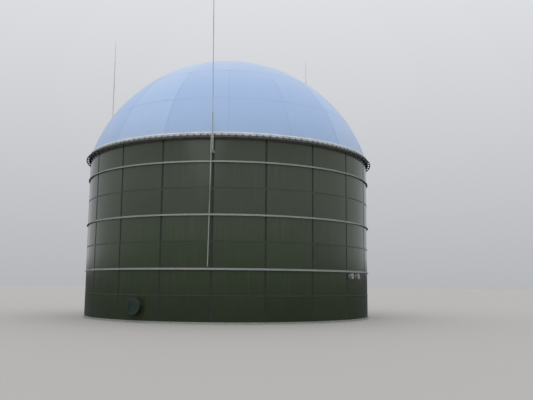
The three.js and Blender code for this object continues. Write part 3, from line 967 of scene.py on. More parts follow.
@dataclass
class Wall:
    """The enamelled sheets with their sealed and bolted laps."""

    side_lap: float = 2 * SEAM_HALF
    course_lap: float = 0.07
    wave_height: float = 0.006
    wave_length: float = 1.3
    bolt_pitch: float = 0.075
    bolt_spread: float = 0.04
    lap_bolt_pitch: float = 0.1
    coat_rise: float = 0.0015
    thin: float = 0.0003
    buried: float = 0.002
    strip_half: float = 0.031
    strip_margin: float = 0.004
    strip_slope: float = 0.006
    shoulder: tuple[float, float] = (-0.003, 0.002)
    heel: float = 0.009
    bead: float = 0.012
    bead_back: float = 0.004
    bead_round: float = 0.001

    def build(self) -> None:
        """Builds the sheets, the sealant and the bolts."""
        self.add_sheets()
        self.add_seam_sealant()
        self.add_lap_sealant()
        self.add_seam_bolts()
        self.add_lap_bolts()

    def add_sheets(self) -> None:
        """Lays the curved sheets, which stand for the wall's columns."""
        piece = Shape().piece("wall_sheets", ENAMEL)
        grow(piece, enamel_sheets_tree(), {
            "Sheets Round": SHEETS_ROUND, "Courses": COURSES, "Sheet Height": SHEET_HEIGHT,
            "Radius": TANK_RADIUS, "Course Inset": COURSE_INSET,
            "Side Lap": self.side_lap / SHEET_WIDTH, "Course Lap": self.course_lap / SHEET_HEIGHT,
            "Seam Rise": SEAM_RISE, "Wave Height": self.wave_height,
            "Wave Length": self.wave_length, "Seed": 4,
            "Material": ENAMEL.material()}, thickness=SHEET_THICKNESS)
        nodes = [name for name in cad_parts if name.startswith("wall_column")]
        hand_over(piece, nodes)

    def add_seam_sealant(self) -> None:
        """Coats the upright seams with sealant, from lap to lap."""
        low = self.course_lap / 2 + self.strip_margin
        high = SHEET_HEIGHT - self.course_lap / 2 - self.strip_margin
        left, right = -self.strip_half - self.strip_slope, SEAM_HALF
        top = SEAM_RISE + self.coat_rise
        section = [(left, SEAM_RISE - self.buried), (left, SEAM_RISE + self.thin),
                   (left + self.strip_slope, top), (right + self.shoulder[0], top),
                   (right + self.shoulder[1], top - 2 * self.thin), (right + self.heel, 2 * self.thin),
                   (right + self.heel, -self.buried)]
        strip = Shape()
        strip.loft([[Vector((x, -out, z)) for x, out in section] for z in (low, high)])
        piece = strip.piece("seam_sealant", SEALANT)
        RoundField(radius=TANK_RADIUS, turns=SHEETS_ROUND, turn_angle=SHEET_TURN, levels=COURSES,
                   level_height=SHEET_HEIGHT, odd_inset=COURSE_INSET).fill(piece)
        hand_over(piece)

    def add_lap_sealant(self) -> None:
        """Runs a bead along the edge of every lap, with the dusty lowest one as its own piece."""
        outer = TANK_RADIUS + SEAM_RISE + self.coat_rise
        inner = TANK_RADIUS - COURSE_INSET
        deep, soft = inner - self.buried, outer - self.bead_round
        section = ((deep, -self.bead_back), (soft, -self.bead_back), (outer, -2 * self.bead_round),
                   (soft, 2 * self.bead_round), (inner + SEAM_RISE, self.bead * 0.7), (deep, self.bead))
        beads, lowest = Shape(), Shape()
        for course in range(COURSES - 1):
            # The outer course's edge looks up on one lap and down on the next
            away = 1 if course % 2 == 0 else -1
            edge = (course + 1) * SHEET_HEIGHT + away * self.course_lap / 2
            (beads if course else lowest).sweep([(r, edge + away * rise) for r, rise in section])
        hand_over(beads.piece("lap_sealant", SEALANT))
        hand_over(lowest.piece("lowest_lap_sealant", DUSTY_SEALANT))

    def add_seam_bolts(self) -> None:
        """Caps the two rows of bolts down every upright seam."""
        rows = int((SHEET_HEIGHT - self.course_lap) / self.bolt_pitch)
        first = (SHEET_HEIGHT - (rows - 1) * self.bolt_pitch) / 2
        spread = math.degrees(self.bolt_spread / TANK_RADIUS)
        piece = BoltCap().piece("seam_bolt_caps", BOLT_CAP)
        RoundField(radius=TANK_RADIUS + SEAM_RISE + self.coat_rise, turns=SHEETS_ROUND,
                   turn_angle=SHEET_TURN, first_angle=-spread / 2, columns=2, column_angle=spread,
                   levels=COURSES, first_height=first, level_height=SHEET_HEIGHT, rows=rows,
                   row_height=self.bolt_pitch, odd_inset=COURSE_INSET, spin=60, seed=2).fill(piece)
        hand_over(piece)

    def add_lap_bolts(self) -> None:
        """Caps the row of bolts along every lap that no girder covers, which is every other one."""
        columns = int((SHEET_WIDTH - self.side_lap) / self.lap_bolt_pitch)
        pitch = math.degrees(self.lap_bolt_pitch / TANK_RADIUS)
        first = (SHEET_TURN - (columns - 1) * pitch) / 2
        piece = BoltCap().piece("lap_bolt_caps", BOLT_CAP)
        RoundField(radius=TANK_RADIUS + SEAM_RISE / 2 + self.coat_rise, turns=SHEETS_ROUND,
                   turn_angle=SHEET_TURN, first_angle=first, columns=columns, column_angle=pitch,
                   levels=COURSES // 2, first_height=SHEET_HEIGHT, level_height=2 * SHEET_HEIGHT,
                   spin=60, seed=3).fill(piece)
        hand_over(piece)


def rolled_angle(inner: float, low: float, high: float, shelf: float,
                 plate: float) -> list[tuple[float, float]]:
    """Outline of a rolled angle with its toes rounded.

    Args:
        inner: Radius of the leg's face on the wall.
        low: Height of its lower edge.
        high: Height of its upper edge.
        shelf: How far the shelf stands out.
        plate: Thickness of the leg and the shelf.

    Returns:
        Points as radius and height.
    """
    toe = plate * 0.3
    root = plate * 0.9
    points = [(inner, 0.0), (inner + shelf - toe, 0.0), (inner + shelf, toe), (inner + shelf, plate - toe),
              (inner + shelf - toe, plate), (inner + plate + root, plate), (inner + plate, plate + root),
              (inner + plate, high - low - toe), (inner + plate - toe, high - low), (inner, high - low)]
    return [(r, low + z) for r, z in points]


def flat_bar(inner: float, outer: float, low: float, high: float) -> Outline:
    """Outline of a flat bar, as radius and height."""
    return [(inner, low), (outer, low), (outer, high), (inner, high)]


@dataclass
class WindGirder:
    """A ring of rolled angle, bolted on in lengths that are joined by splice plates."""

    node: str
    first_splice: float
    lengths: int = 10
    gap: float = 0.006
    plate: float = 0.008
    splice_half: float = 0.15
    splice_plate: float = 0.006
    bolt_pitch: float = 0.12
    bolt_lift: float = 0.012

    def build(self) -> None:
        """Builds the lengths of angle, the splices and the bolts."""
        low, high = (corner.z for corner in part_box(self.node))
        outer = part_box(self.node)[1].x
        leg, shelf, plate = PROFILE_RADIUS + self.plate, low + self.plate, self.splice_plate
        outline = rolled_angle(PROFILE_RADIUS, low, high, outer - PROFILE_RADIUS, self.plate)
        splices = (flat_bar(leg, leg + plate, low + self.plate * 2.2, high - plate),
                   flat_bar(leg + 2 * plate, outer - self.plate, shelf, shelf + plate))
        span = 360 / self.lengths
        trim = math.degrees(self.gap / 2 / TANK_RADIUS)
        reach = math.degrees(self.splice_half / TANK_RADIUS)
        ring = Shape()
        for i in range(self.lengths):
            start = self.first_splice + i * span
            ring.sweep(outline, start + trim, span - 2 * trim)
            for splice in splices:
                ring.sweep(splice, start - reach, 2 * reach)
        hand_over(ring.piece(f"{self.node}_ring", GALVANISED), [self.node])
        self.add_bolts(leg, (low + high) / 2 + self.bolt_lift, span)

    def add_bolts(self, radius: float, level: float, span: float) -> None:
        """Bolts the girder's leg through the wall's lap.

        Args:
            radius: Radius of the leg's outer face.
            level: Height of the row.
            span: Degrees between splices.
        """
        piece = BoltHead().piece(f"{self.node}_bolts", GALVANISED)
        columns = int(TANK_RADIUS * math.radians(span) / self.bolt_pitch)
        pitch = span / columns
        RoundField(radius=radius, turns=self.lengths, turn_angle=span,
                   first_angle=self.first_splice + pitch / 2, columns=columns, column_angle=pitch,
                   first_height=level, spin=60, seed=5).fill(piece)
        hand_over(piece)


@dataclass
class Foot:
    """The angle round the foot of the wall, anchored to the foundation, and the slab inside."""

    plate: float = 0.01
    bolt_pitch: float = 0.1
    bolt_share: float = 0.62
    anchors_per_sheet: int = 6
    anchor_shift: float = 0.006
    anchor: BoltHead = BoltHead(across=0.03, height=0.034, washer=0.022)

    def build(self) -> None:
        """Builds the angle with its two rows of bolts, and dresses the slab."""
        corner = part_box("base_angle")[1]
        high, outer, leg = corner.z, corner.x, PROFILE_RADIUS + self.plate
        ring = Shape()
        ring.sweep(rolled_angle(PROFILE_RADIUS, 0.0, high, outer - PROFILE_RADIUS, self.plate))
        hand_over(ring.piece("base_angle_ring", GALVANISED), ["base_angle"])
        columns = round(TANK_RADIUS * math.radians(SHEET_TURN) / self.bolt_pitch)
        piece = BoltHead().piece("base_angle_bolts", GALVANISED)
        RoundField(radius=leg, turns=SHEETS_ROUND, turn_angle=SHEET_TURN,
                   first_angle=SHEET_TURN / columns / 2, columns=columns,
                   column_angle=SHEET_TURN / columns, first_height=high * self.bolt_share, spin=60,
                   seed=6).fill(piece)
        hand_over(piece)
        piece = self.anchor.piece("anchor_bolts", GALVANISED, UPRIGHT)
        pitch = SHEET_TURN / self.anchors_per_sheet
        RoundField(radius=(leg + outer) / 2 + self.anchor_shift, turns=SHEETS_ROUND,
                   turn_angle=SHEET_TURN, first_angle=pitch / 2, columns=self.anchors_per_sheet,
                   column_angle=pitch, first_height=self.plate).fill(piece)
        hand_over(piece)
        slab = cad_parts["base_slab"]
        slab.data.materials.clear()
        slab.data.materials.append(CONCRETE.material())


@dataclass
class Rim:
    """The channel on the wall's top edge, and the rail that short arms hold off it."""

    plate: float = 0.008
    bolt_drop: float = 0.052
    bolts_per_sheet: int = 24
    rail_radius: float = 0.027
    rail_sides: int = 16
    arm_width: float = 0.05
    arm_plate: float = 0.006
    arm_depth: float = 0.05
    arm_end: float = 0.012
    cleat_half: float = 0.04
    cleat_rise: float = 0.026
    cleat_plate: float = 0.008
    cleat_bolt: BoltHead = BoltHead(across=0.018, height=0.014, washer=0.011)
    cleat_bolt_shift: float = 0.003
    strap: float = 0.003
    strap_width: float = 0.03
    strap_turn: int = 100
    strap_step: int = 20
    clamp_plate: float = 0.008
    clamp_width: float = 0.05
    clamp_lip: float = 0.032
    clamp_drop: float = 0.045
    clamp_nut: BoltHead = BoltHead(height=0.026, washer=0.014)
    clamp_nut_shift: float = 0.002

    def build(self) -> None:
        """Builds the channel, the rail, the arms, the clamps and the bolts."""
        low, high = (corner.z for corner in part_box("rim_channel"))
        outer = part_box("rim_channel")[1].x
        ring = Shape()
        ring.sweep(self.channel(PROFILE_RADIUS, outer, low, high))
        hand_over(ring.piece("rim_channel_ring", GREYED_STEEL), ["rim_channel"])
        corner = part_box("rim_rail")[1]
        reach = corner.x - self.strap - self.rail_radius
        level = corner.z - self.arm_plate - self.rail_radius
        rail = Shape()
        turns = [math.tau * i / self.rail_sides for i in range(self.rail_sides)]
        rail.sweep([(reach + self.rail_radius * math.cos(a), level + self.rail_radius * math.sin(a))
                    for a in turns])
        hand_over(rail.piece("rim_rail_ring", DARK_STEEL), ["rim_rail"])
        self.add_arms(outer, reach - outer, level)
        self.add_clamps(outer, high)
        self.add_bolts(PROFILE_RADIUS + self.plate, high - self.bolt_drop)

    def channel(self, inner: float, outer: float, low: float, high: float) -> Outline:
        """Outline of the channel, open downwards, with its bends rounded.

        Args:
            inner: Radius of its face on the wall.
            outer: Radius of its outer face.
            low: Height of its lower edges.
            high: Height of its top.

        Returns:
            Points as radius and height.
        """
        plate, bend = self.plate, self.plate * 0.6
        return [(inner, low), (inner + plate, low), (inner + plate, high - plate),
                (outer - plate, high - plate), (outer - plate, low), (outer, low), (outer, high - bend),
                (outer - bend / 3, high - bend / 3), (outer - bend, high), (inner + bend, high),
                (inner, high - bend)]

    def add_arms(self, leg: float, length: float, level: float) -> None:
        """Repeats one arm round the rim: an angle bar on a cleat, laid on the rail and strapped to it.

        Args:
            leg: Radius of the channel's outer face.
            length: From there to the rail's middle line.
            level: Height of the rail's middle line.
        """
        arm = Shape()
        half = self.arm_width / 2
        under, over = self.rail_radius, self.rail_radius + self.arm_plate
        low = over - self.arm_depth
        arm.block((-half, -length - self.arm_end, under), (half, -self.cleat_plate, over))
        arm.block((-half, -length + self.rail_radius, low),
                  (-half + self.arm_plate, -self.cleat_plate, under + 0.001), 0.001)
        wide, face = self.cleat_half, -self.cleat_plate - STEP_GAP
        arm.block((-wide, face, low), (wide, -STEP_GAP, over + self.cleat_rise))
        for side in (-1, 1):
            x = side * (half + self.cleat_bolt_shift)
            seat = Matrix.Translation((x, face, over + self.cleat_rise / 2))
            self.cleat_bolt.add_to(arm, seat @ OUTWARDS)
        edges = ((-1, 0.0), (1, 0.0), (1, self.strap), (-1, self.strap))
        bends = range(-self.strap_turn, self.strap_turn + 1, self.strap_step)
        arm.loft([[Vector((side * self.strap_width / 2, -length - (under + lift) * math.cos(a),
                           (under + lift) * math.sin(a))) for side, lift in edges]
                  for a in (math.radians(bend) for bend in bends)])
        piece = arm.piece("rim_rail_arms", DARK_STEEL)
        RoundField(radius=leg, turns=ARMS_ROUND, turn_angle=360 / ARMS_ROUND, first_angle=FIRST_ARM,
                   first_height=level).fill(piece)
        hand_over(piece)

    def add_clamps(self, edge: float, shelf: float) -> None:
        """Holds the clamp bar down with a row of bent plates, which hook over the channel's edge.

        Args:
            edge: Radius of the channel's outer face.
            shelf: Height of the channel's top.
        """
        clamp = Shape()
        half, lip, plate = self.clamp_width / 2, self.clamp_lip, self.clamp_plate
        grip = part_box("clamp_ring")[1].z - shelf + STEP_GAP
        top, back, bend = grip + plate, -STEP_GAP - plate, plate / 2
        outline = ((lip, grip), (lip, top), (back + bend, top), (back, top - bend),
                   (back, -self.clamp_drop), (-STEP_GAP, -self.clamp_drop), (-STEP_GAP, grip))
        clamp.loft([[Vector((x, y, z)) for y, z in outline] for x in (-half, half)])
        nut = Matrix.Translation((0, lip / 2 - self.clamp_nut_shift, top))
        self.clamp_nut.add_to(clamp, nut)
        piece = clamp.piece("rim_clamps", DARK_STEEL)
        RoundField(radius=edge, turns=CLAMPS_ROUND, turn_angle=360 / CLAMPS_ROUND,
                   first_angle=FIRST_CLAMP, first_height=shelf).fill(piece)
        hand_over(piece)

    def add_bolts(self, radius: float, level: float) -> None:
        """Bolts the channel's inner leg to the wall.

        Args:
            radius: Radius of the leg's outer face.
            level: Height of the row.
        """
        piece = BoltHead().piece("rim_channel_bolts", GREYED_STEEL)
        columns = self.bolts_per_sheet
        RoundField(radius=radius, turns=SHEETS_ROUND, turn_angle=SHEET_TURN,
                   first_angle=SHEET_TURN / columns / 2, columns=columns,
                   column_angle=SHEET_TURN / columns, first_height=level, spin=60, seed=7).fill(piece)
        hand_over(piece)


@functools.cache
def membrane_tree() -> Any:
    """A tree that wraps a grid into a dome of gores, with soft puckers at its foot.

    Returns:
        The tree.
    """
    tree, given = start_tree("membrane", {
        Input.COUNT: ("Steps Round", "Steps Up", "Gores", "Puckers"),
        Input.NUMBER: ("Sphere Radius", "Centre Height", "Foot Angle", "First Gore", "Gore Rise",
                       "Pucker Depth", "Pucker Share")})
    node = functools.partial(add_node, tree)
    grid = node("GeometryNodeMeshGrid",
                {"Size X": 1.0, "Size Y": 1.0,
                 "Vertices X": node(MATH, {0: given["Steps Round"], 1: 1.0}, operation="ADD"),
                 "Vertices Y": node(MATH, {0: given["Steps Up"], 1: 1.0}, operation="ADD")})
    local = node("GeometryNodeInputPosition")
    x = node("ShaderNodeSeparateXYZ", {"Vector": local}, out="X")
    y = node("ShaderNodeSeparateXYZ", {"Vector": local}, out="Y")
    turn = node(MATH, {0: x, 1: math.tau}, operation="MULTIPLY")
    up = node(MATH, {0: y, 1: 0.5}, operation="ADD")
    elevation = node(RANGE, {"Value": up, "To Min": given["Foot Angle"], "To Max": math.pi / 2})
    # Each gore swells a little between its welds
    share = node(MATH, {0: turn, 1: given["First Gore"]}, operation="SUBTRACT")
    half_gores = node(MATH, {0: given["Gores"], 1: 0.5}, operation="MULTIPLY")
    phase = node(MATH, {0: share, 1: half_gores}, operation="MULTIPLY")
    wave = node(MATH, {0: phase}, operation="SINE")
    swell = node(MATH, {0: wave}, operation="ABSOLUTE")
    flat = node(MATH, {0: elevation}, operation="COSINE")
    swell = node(MATH, {0: swell, 1: flat}, operation="MULTIPLY")
    swell = node(MATH, {0: swell, 1: given["Gore Rise"]}, operation="MULTIPLY")
    # The clamped foot gathers into puckers that fade out upwards
    around = node(MATH, {0: turn, 1: given["Puckers"]}, operation="MULTIPLY")
    uneven = node("ShaderNodeTexNoise", {"W": turn, "Scale": 3.0}, noise_dimensions="1D")
    drift = node(MATH, {0: uneven, 1: 9.0, 2: around}, operation="MULTIPLY_ADD")
    pucker = node(MATH, {0: drift}, operation="SINE")
    fade = node(RANGE, {"Value": up, "From Max": given["Pucker Share"], "To Min": 1.0, "To Max": 0.0},
                interpolation_type="SMOOTHSTEP")
    pucker = node(MATH, {0: pucker, 1: fade}, operation="MULTIPLY")
    radius = node(MATH, {0: pucker, 1: given["Pucker Depth"], 2: swell}, operation="MULTIPLY_ADD")
    radius = node(MATH, {0: radius, 1: given["Sphere Radius"]}, operation="ADD")
    out = node(MATH, {0: flat, 1: radius}, operation="MULTIPLY")
    back = node(MATH, {0: out, 1: -1.0}, operation="MULTIPLY")
    sine = node(MATH, {0: elevation}, operation="SINE")
    level = node(MATH, {0: sine, 1: radius, 2: given["Centre Height"]}, operation="MULTIPLY_ADD")
    front = node("ShaderNodeCombineXYZ", {"Y": back, "Z": level})
    place = node("ShaderNodeVectorRotate", {"Vector": front, "Angle": turn}, rotation_type="Z_AXIS")
    # Cloth from different rolls: every gore has its own tone
    panel = node(MATH, {0: node(MATH, {0: phase, 1: math.pi}, operation="DIVIDE")}, operation="FLOOR")
    tone = node("FunctionNodeRandomValue", {"ID": panel, "Seed": given["Seed"]}, data_type="FLOAT")
    toned = node("GeometryNodeStoreNamedAttribute", {"Geometry": grid, "Name": "tone", "Value": tone},
                 data_type="FLOAT", domain="FACE")
    bent = node("GeometryNodeSetPosition", {"Geometry": toned, "Position": place})
    closed = node("GeometryNodeMergeByDistance", {"Geometry": bent, "Distance": STEP_GAP})
    return close_tree(tree, closed, given["Material"])


@dataclass
class Membrane:
    """The air-held dome with its welds, and the white foot that is clamped to the rim."""

    gores: int = 16
    first_gore: float = 4.8
    gore_rise: float = 0.004
    puckers: int = 110
    pucker_depth: float = 0.004
    pucker_share: float = 0.12
    skin: float = 0.006
    weld_width: float = 0.055
    weld_flat: float = 0.9
    weld_hollow: float = 0.001
    weld_steps: int = 40
    steps_round: int = 240
    steps_up: int = 56
    bar_width: float = 0.034
    bar_gap: float = 0.004
    bar_bevel: float = 0.001
    clamp_bolt: BoltHead = BoltHead(across=0.02, height=0.024, washer=0.0135)
    bolts_per_clamp: int = 2
    bolt_inset: float = 0.014
    foot_flat: float = 0.012
    foot_bevel: float = 0.002
    roll_tuck: float = 0.001
    roll_rise: float = 0.008
    roll_radius: float = 0.062
    roll_margin: float = 0.007
    roll_arc: tuple[float, float] = (-35.0, 100.0)
    roll_steps: int = 9
    hem_inset: float = 0.015
    hem_drop: float = 0.03
    tail_inset: float = 0.008
    tail_drop: float = 0.006
    scallop: float = 0.1
    scallop_steps: int = 4

    radius: float = field(init=False)
    centre: float = field(init=False)
    foot_angle: float = field(init=False)
    welds: tuple[float, float] = field(init=False)

    def __post_init__(self) -> None:
        """Works out the sphere that the dome is a cap of, and the heights of the cross welds."""
        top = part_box("membrane_crown")[1].z
        base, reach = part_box("membrane_lower")[0].z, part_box("membrane_lower")[1].x
        rise = top - base
        self.radius = (rise * rise + reach * reach) / (2 * rise)
        self.centre = top - self.radius
        self.foot_angle = math.asin((base - self.centre) / self.radius)
        self.welds = (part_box("membrane_upper")[0].z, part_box("membrane_crown")[0].z)

    def build(self) -> None:
        """Builds the dome, its welds and its foot."""
        self.add_dome()
        self.add_welds()
        self.add_foot()

    def add_dome(self) -> None:
        """Wraps the skin of the dome."""
        piece = Shape().piece("membrane_dome", MEMBRANE)
        grow(piece, membrane_tree(), {
            "Sphere Radius": self.radius - self.gore_rise, "Centre Height": self.centre,
            "Foot Angle": self.foot_angle, "Steps Round": self.steps_round,
            "Steps Up": self.steps_up, "Gores": self.gores,
            "First Gore": math.radians(self.first_gore), "Gore Rise": self.gore_rise,
            "Puckers": self.puckers, "Pucker Depth": self.pucker_depth,
            "Pucker Share": self.pucker_share, "Seed": 8,
            "Material": MEMBRANE.material()}, thickness=self.skin)
        hand_over(piece, ["membrane_lower", "membrane_upper", "membrane_crown"])

    def on_sphere(self, angle: float, elevation: float, lift: float) -> Vector:
        """A point over the dome.

        Args:
            angle: Radians round from the front.
            elevation: Radians up from the sphere's middle.
            lift: Distance from the skin.

        Returns:
            The point.
        """
        radius = self.radius + lift
        flat = radius * math.cos(elevation)
        return Vector((flat * math.sin(angle), -flat * math.cos(angle),
                       self.centre + radius * math.sin(elevation)))

    def weld_edges(self, half: float, hollow: float) -> Outline:
        """Outline of a weld's strip across its run.

        Args:
            half: Half its width, as an angle in radians.
            hollow: How far its middle lies below its edges.

        Returns:
            Points as angle and distance from the skin.
        """
        flat = half * self.weld_flat
        return [(-half, -self.skin), (-half, 0.0), (-flat, -hollow), (flat, -hollow), (half, 0.0),
                (half, -self.skin)]

    def add_welds(self) -> None:
        """Lays the doubled strips of the welds on the dome, up every gore and round it."""
        strips = Shape()
        half = self.weld_width / 2
        first, last = self.foot_angle, math.asin((self.welds[1] - self.centre) / self.radius)
        for gore in range(self.gores):
            middle = math.radians(self.first_gore + gore * 360 / self.gores)
            loops = []
            for i in range(self.weld_steps + 1):
                elevation = first + (last - first) * i / self.weld_steps
                edges = self.weld_edges(half / (self.radius * math.cos(elevation)), self.weld_hollow)
                loops.append([self.on_sphere(middle + a, elevation, lift) for a, lift in edges])
            strips.loft(loops)
        for level in self.welds:
            elevation = math.asin((level - self.centre) / self.radius)
            outline = [((self.radius + lift) * math.cos(elevation + e),
                        self.centre + (self.radius + lift) * math.sin(elevation + e))
                       for e, lift in self.weld_edges(half / self.radius, 0.0)]
            strips.sweep(outline, steps=self.steps_round)
        hand_over(strips.piece("membrane_welds", MEMBRANE))

    def add_foot(self) -> None:
        """Builds the white foot on the rim's shelf, with the bars and bolts that clamp it."""
        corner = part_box("clamp_ring")[1]
        top, outer, inner = corner.z, corner.x, corner.x - self.bar_width
        bolts = CLAMPS_ROUND * self.bolts_per_clamp
        steps = bolts * self.scallop_steps
        loops = []
        for i in range(steps):
            a = math.tau * i / steps + math.radians(FIRST_CLAMP)
            between = 0.5 + 0.5 * math.cos(math.tau * i / self.scallop_steps)
            loops.append([Vector((r * math.sin(a), -r * math.cos(a), z))
                          for r, z in self.foot_outline(inner, between)])
        skirt = Shape()
        skirt.loft(loops, ring=True)
        hand_over(skirt.piece("membrane_skirt", WHITE_FABRIC), ["membrane_foot"])
        bar = Shape()
        gap, bevel = math.degrees(self.bar_gap / TANK_RADIUS), self.bar_bevel
        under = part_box("membrane_foot")[0].z + self.foot_flat + STEP_GAP
        outline = [(inner, under), (outer, under), (outer, top - bevel), (outer - bevel, top),
                   (inner + bevel, top), (inner, top - bevel)]
        for i in range(SHEETS_ROUND):
            bar.sweep(outline, i * 360 / SHEETS_ROUND + gap, 360 / SHEETS_ROUND - 2 * gap)
        hand_over(bar.piece("clamp_bars", GALVANISED), ["clamp_ring"])
        piece = self.clamp_bolt.piece("clamp_bolts", GALVANISED, UPRIGHT)
        RoundField(radius=outer - self.bolt_inset, turns=bolts, turn_angle=360 / bolts,
                   first_angle=FIRST_CLAMP + 180 / bolts, first_height=top).fill(piece)
        hand_over(piece)

    def foot_outline(self, flat_inner: float, between: float) -> Outline:
        """Outline of the foot: flat under the bar, then a soft roll up to the dome.

        Args:
            flat_inner: Radius where the flat part ends.
            between: 1 halfway between two bolts, where the roll is fullest, and 0 at a bolt.

        Returns:
            Points as radius and height.
        """
        low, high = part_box("membrane_foot")
        dome = self.radius * math.cos(self.foot_angle)
        hem, flat = dome - self.hem_inset, low.z + self.foot_flat
        middle = (dome + self.roll_margin, high.z - self.roll_radius)
        radius = self.roll_radius * (1 - self.scallop * (1 - between))
        first, last = self.roll_arc
        arc = []
        for i in range(self.roll_steps + 1):
            a = math.radians(first + (last - first) * i / self.roll_steps)
            arc.append((middle[0] + radius * math.cos(a), middle[1] + radius * math.sin(a)))
        return [(hem, low.z), (high.x, low.z), (high.x - self.foot_bevel, flat),
                (flat_inner - STEP_GAP, flat), (arc[0][0] - self.roll_tuck, flat + self.roll_rise), *arc,
                (dome - self.tail_inset, high.z - self.tail_drop), (hem, high.z - self.hem_drop)]


@dataclass
class Mast:
    """A lightning mast of stepped pipe with its bracket, and the pipe that runs down beside it."""

    side: str
    angle: float
    shift: float
    lean: float = 0.0
    radii: tuple[float, ...] = (0.021, 0.019, 0.016, 0.010)
    joints: tuple[float, ...] = (9.35, 13.9, 15.4)
    sleeve_rise: float = 0.006
    sleeve_half: float = 0.045
    sleeve_taper: float = 0.01
    pipe_edge: float = 0.004
    # Share of the thinnest pipe's radius, and distance below the tip
    tip_outline: Outline = ((1.0, 0.3), (0.7, 0.27), (0.5, 0.05))
    tip_radius: float = 0.002
    plate: float = 0.006
    plate_left: float = -0.104
    plate_right: float = 0.036
    plate_bevel: float = 0.0015
    down_radius: float = 0.020
    down_top: float = -0.061
    down_bottom: float = -0.128
    down_end: float = 0.004
    down_bevel: float = 0.003
    sides: int = 20
    clamp_levels: tuple[float, ...] = (7.70, 7.95, 8.20)
    clamp_step: float = 0.03
    clamp_rod: float = 0.0035
    clamp_end: float = 0.02
    clamp_steps: int = 12
    clamp_sides: int = 8
    clamp_nut: BoltHead = BoltHead(across=0.014, height=0.009, washer=0.009)
    girder_levels: tuple[float, ...] = (4.8, 7.2)
    girder_reach: float = 0.042
    girder_sunk: float = 0.004
    bar_half: float = 0.015
    bar_depth: float = 0.03
    bevel: float = 0.001
    strut_half: float = 0.025
    strut_low: float = 7.61
    strut_high: float = 7.66
    wall_gap: float = 0.003
    wall_plate_half: float = 0.06
    wall_plate: float = 0.014
    wall_bolt: BoltHead = BoltHead(across=0.02, height=0.014, washer=0.013)
    wall_bolt_inset: float = 0.017

    foot: float = field(init=False)
    tip: float = field(init=False)
    down_low: float = field(init=False)
    down_high: float = field(init=False)
    face: float = field(init=False)
    place: Matrix = field(init=False)

    def __post_init__(self) -> None:
        """Works out the mast's place, and the heights of its ends and the down pipe's."""
        low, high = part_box(f"mast_{self.side}")
        self.foot, self.tip = low.z, high.z
        low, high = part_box(f"down_pipe_{self.side}")
        self.down_low, self.down_high = low.z, high.z
        # The flat plate touches the round rail at its edge that is nearest to the rail's radial line
        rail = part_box("rim_rail")[1].x
        nearest = max(0.0, -(self.shift + self.plate_right))
        self.face = math.sqrt(rail ** 2 - nearest ** 2) + STEP_GAP + self.plate
        self.place = round_place(self.angle, self.shift)

    def build(self) -> None:
        """Builds the mast, the down pipe and the bracket."""
        self.add_mast()
        self.add_down_pipe()
        self.add_bracket()

    def add_mast(self) -> None:
        """Builds the stepped pipe with a screwed sleeve at every joint."""
        edge = self.pipe_edge
        outline = [(self.radii[0] - edge, 0.0), (self.radii[0], edge / 2)]
        for joint, radius, above in zip(self.joints, self.radii, self.radii[1:]):
            sleeve = radius + self.sleeve_rise
            low = joint - self.foot - self.sleeve_half
            high = joint - self.foot + self.sleeve_half
            outline += [(radius, low), (sleeve, low + self.sleeve_rise / 2),
                        (sleeve, high - self.sleeve_taper), (sleeve - edge, high),
                        (above, high + self.sleeve_rise)]
        length = self.tip - self.foot
        outline += [(self.radii[-1] * share, length - below) for share, below in self.tip_outline]
        outline.append((self.tip_radius, length))
        axis = self.face + self.radii[0]
        mast = Shape()
        place = (self.place @ Matrix.Translation((0, -axis, self.foot))
                 @ Matrix.Rotation(math.radians(self.lean), 4, "Y"))
        mast.lathe(outline, self.sides, place)
        hand_over(mast.piece(f"mast_{self.side}_pipe", GALVANISED_PIPE),
                  [f"mast_{self.side}"])

    def down_shift(self, level: float) -> float:
        """How far along the wall the down pipe's middle is at a height, from the mast's foot."""
        share = (level - self.down_low) / (self.down_high - self.down_low)
        return self.down_bottom + (self.down_top - self.down_bottom) * share

    def add_down_pipe(self) -> None:
        """Builds the pipe down the wall, with a welded bar to each girder that it passes."""
        bottom, top = self.down_low + self.down_end, self.down_high - self.down_end
        radius = self.down_radius
        axis = self.face + radius
        length = top - bottom
        slope = (self.down_top - self.down_bottom) / (self.down_high - self.down_low)
        place = (self.place @ Matrix.Translation((self.down_bottom, -axis, bottom))
                 @ Matrix.Rotation(math.atan(slope), 4, "Y"))
        pipe = Shape()
        bevel = self.down_bevel
        pipe.lathe([(radius - bevel, 0.0), (radius, bevel), (radius, length - bevel),
                    (radius - bevel, length)], self.sides, place)
        girder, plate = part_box("wind_girder_low")[1].x - self.girder_sunk, self.plate
        for level in self.girder_levels:
            middle, rest = self.down_shift(level), level - self.girder_reach
            for half, low, high in ((self.bar_half, 0.0, plate),
                                    (plate / 2, plate - self.bevel, self.bar_depth)):
                pipe.block((middle - half, -axis, rest + low), (middle + half, -girder, rest + high),
                           self.bevel, self.place)
        hand_over(pipe.piece(f"down_pipe_{self.side}_run", STAINED_PIPE),
                  [f"down_pipe_{self.side}"])

    def add_bracket(self) -> None:
        """Builds the back plate, its strut to the wall, and the clamps round both pipes."""
        low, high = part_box(f"mast_bracket_{self.side}")
        bracket = Shape()
        inner = self.face - self.plate
        bracket.block((self.plate_left, -self.face, low.z), (self.plate_right, -inner, high.z),
                      self.plate_bevel, self.place)
        wall = TANK_RADIUS + SEAM_RISE + self.wall_gap
        half, plate = self.strut_half, self.plate
        near, far = -inner - self.bevel, -wall - plate
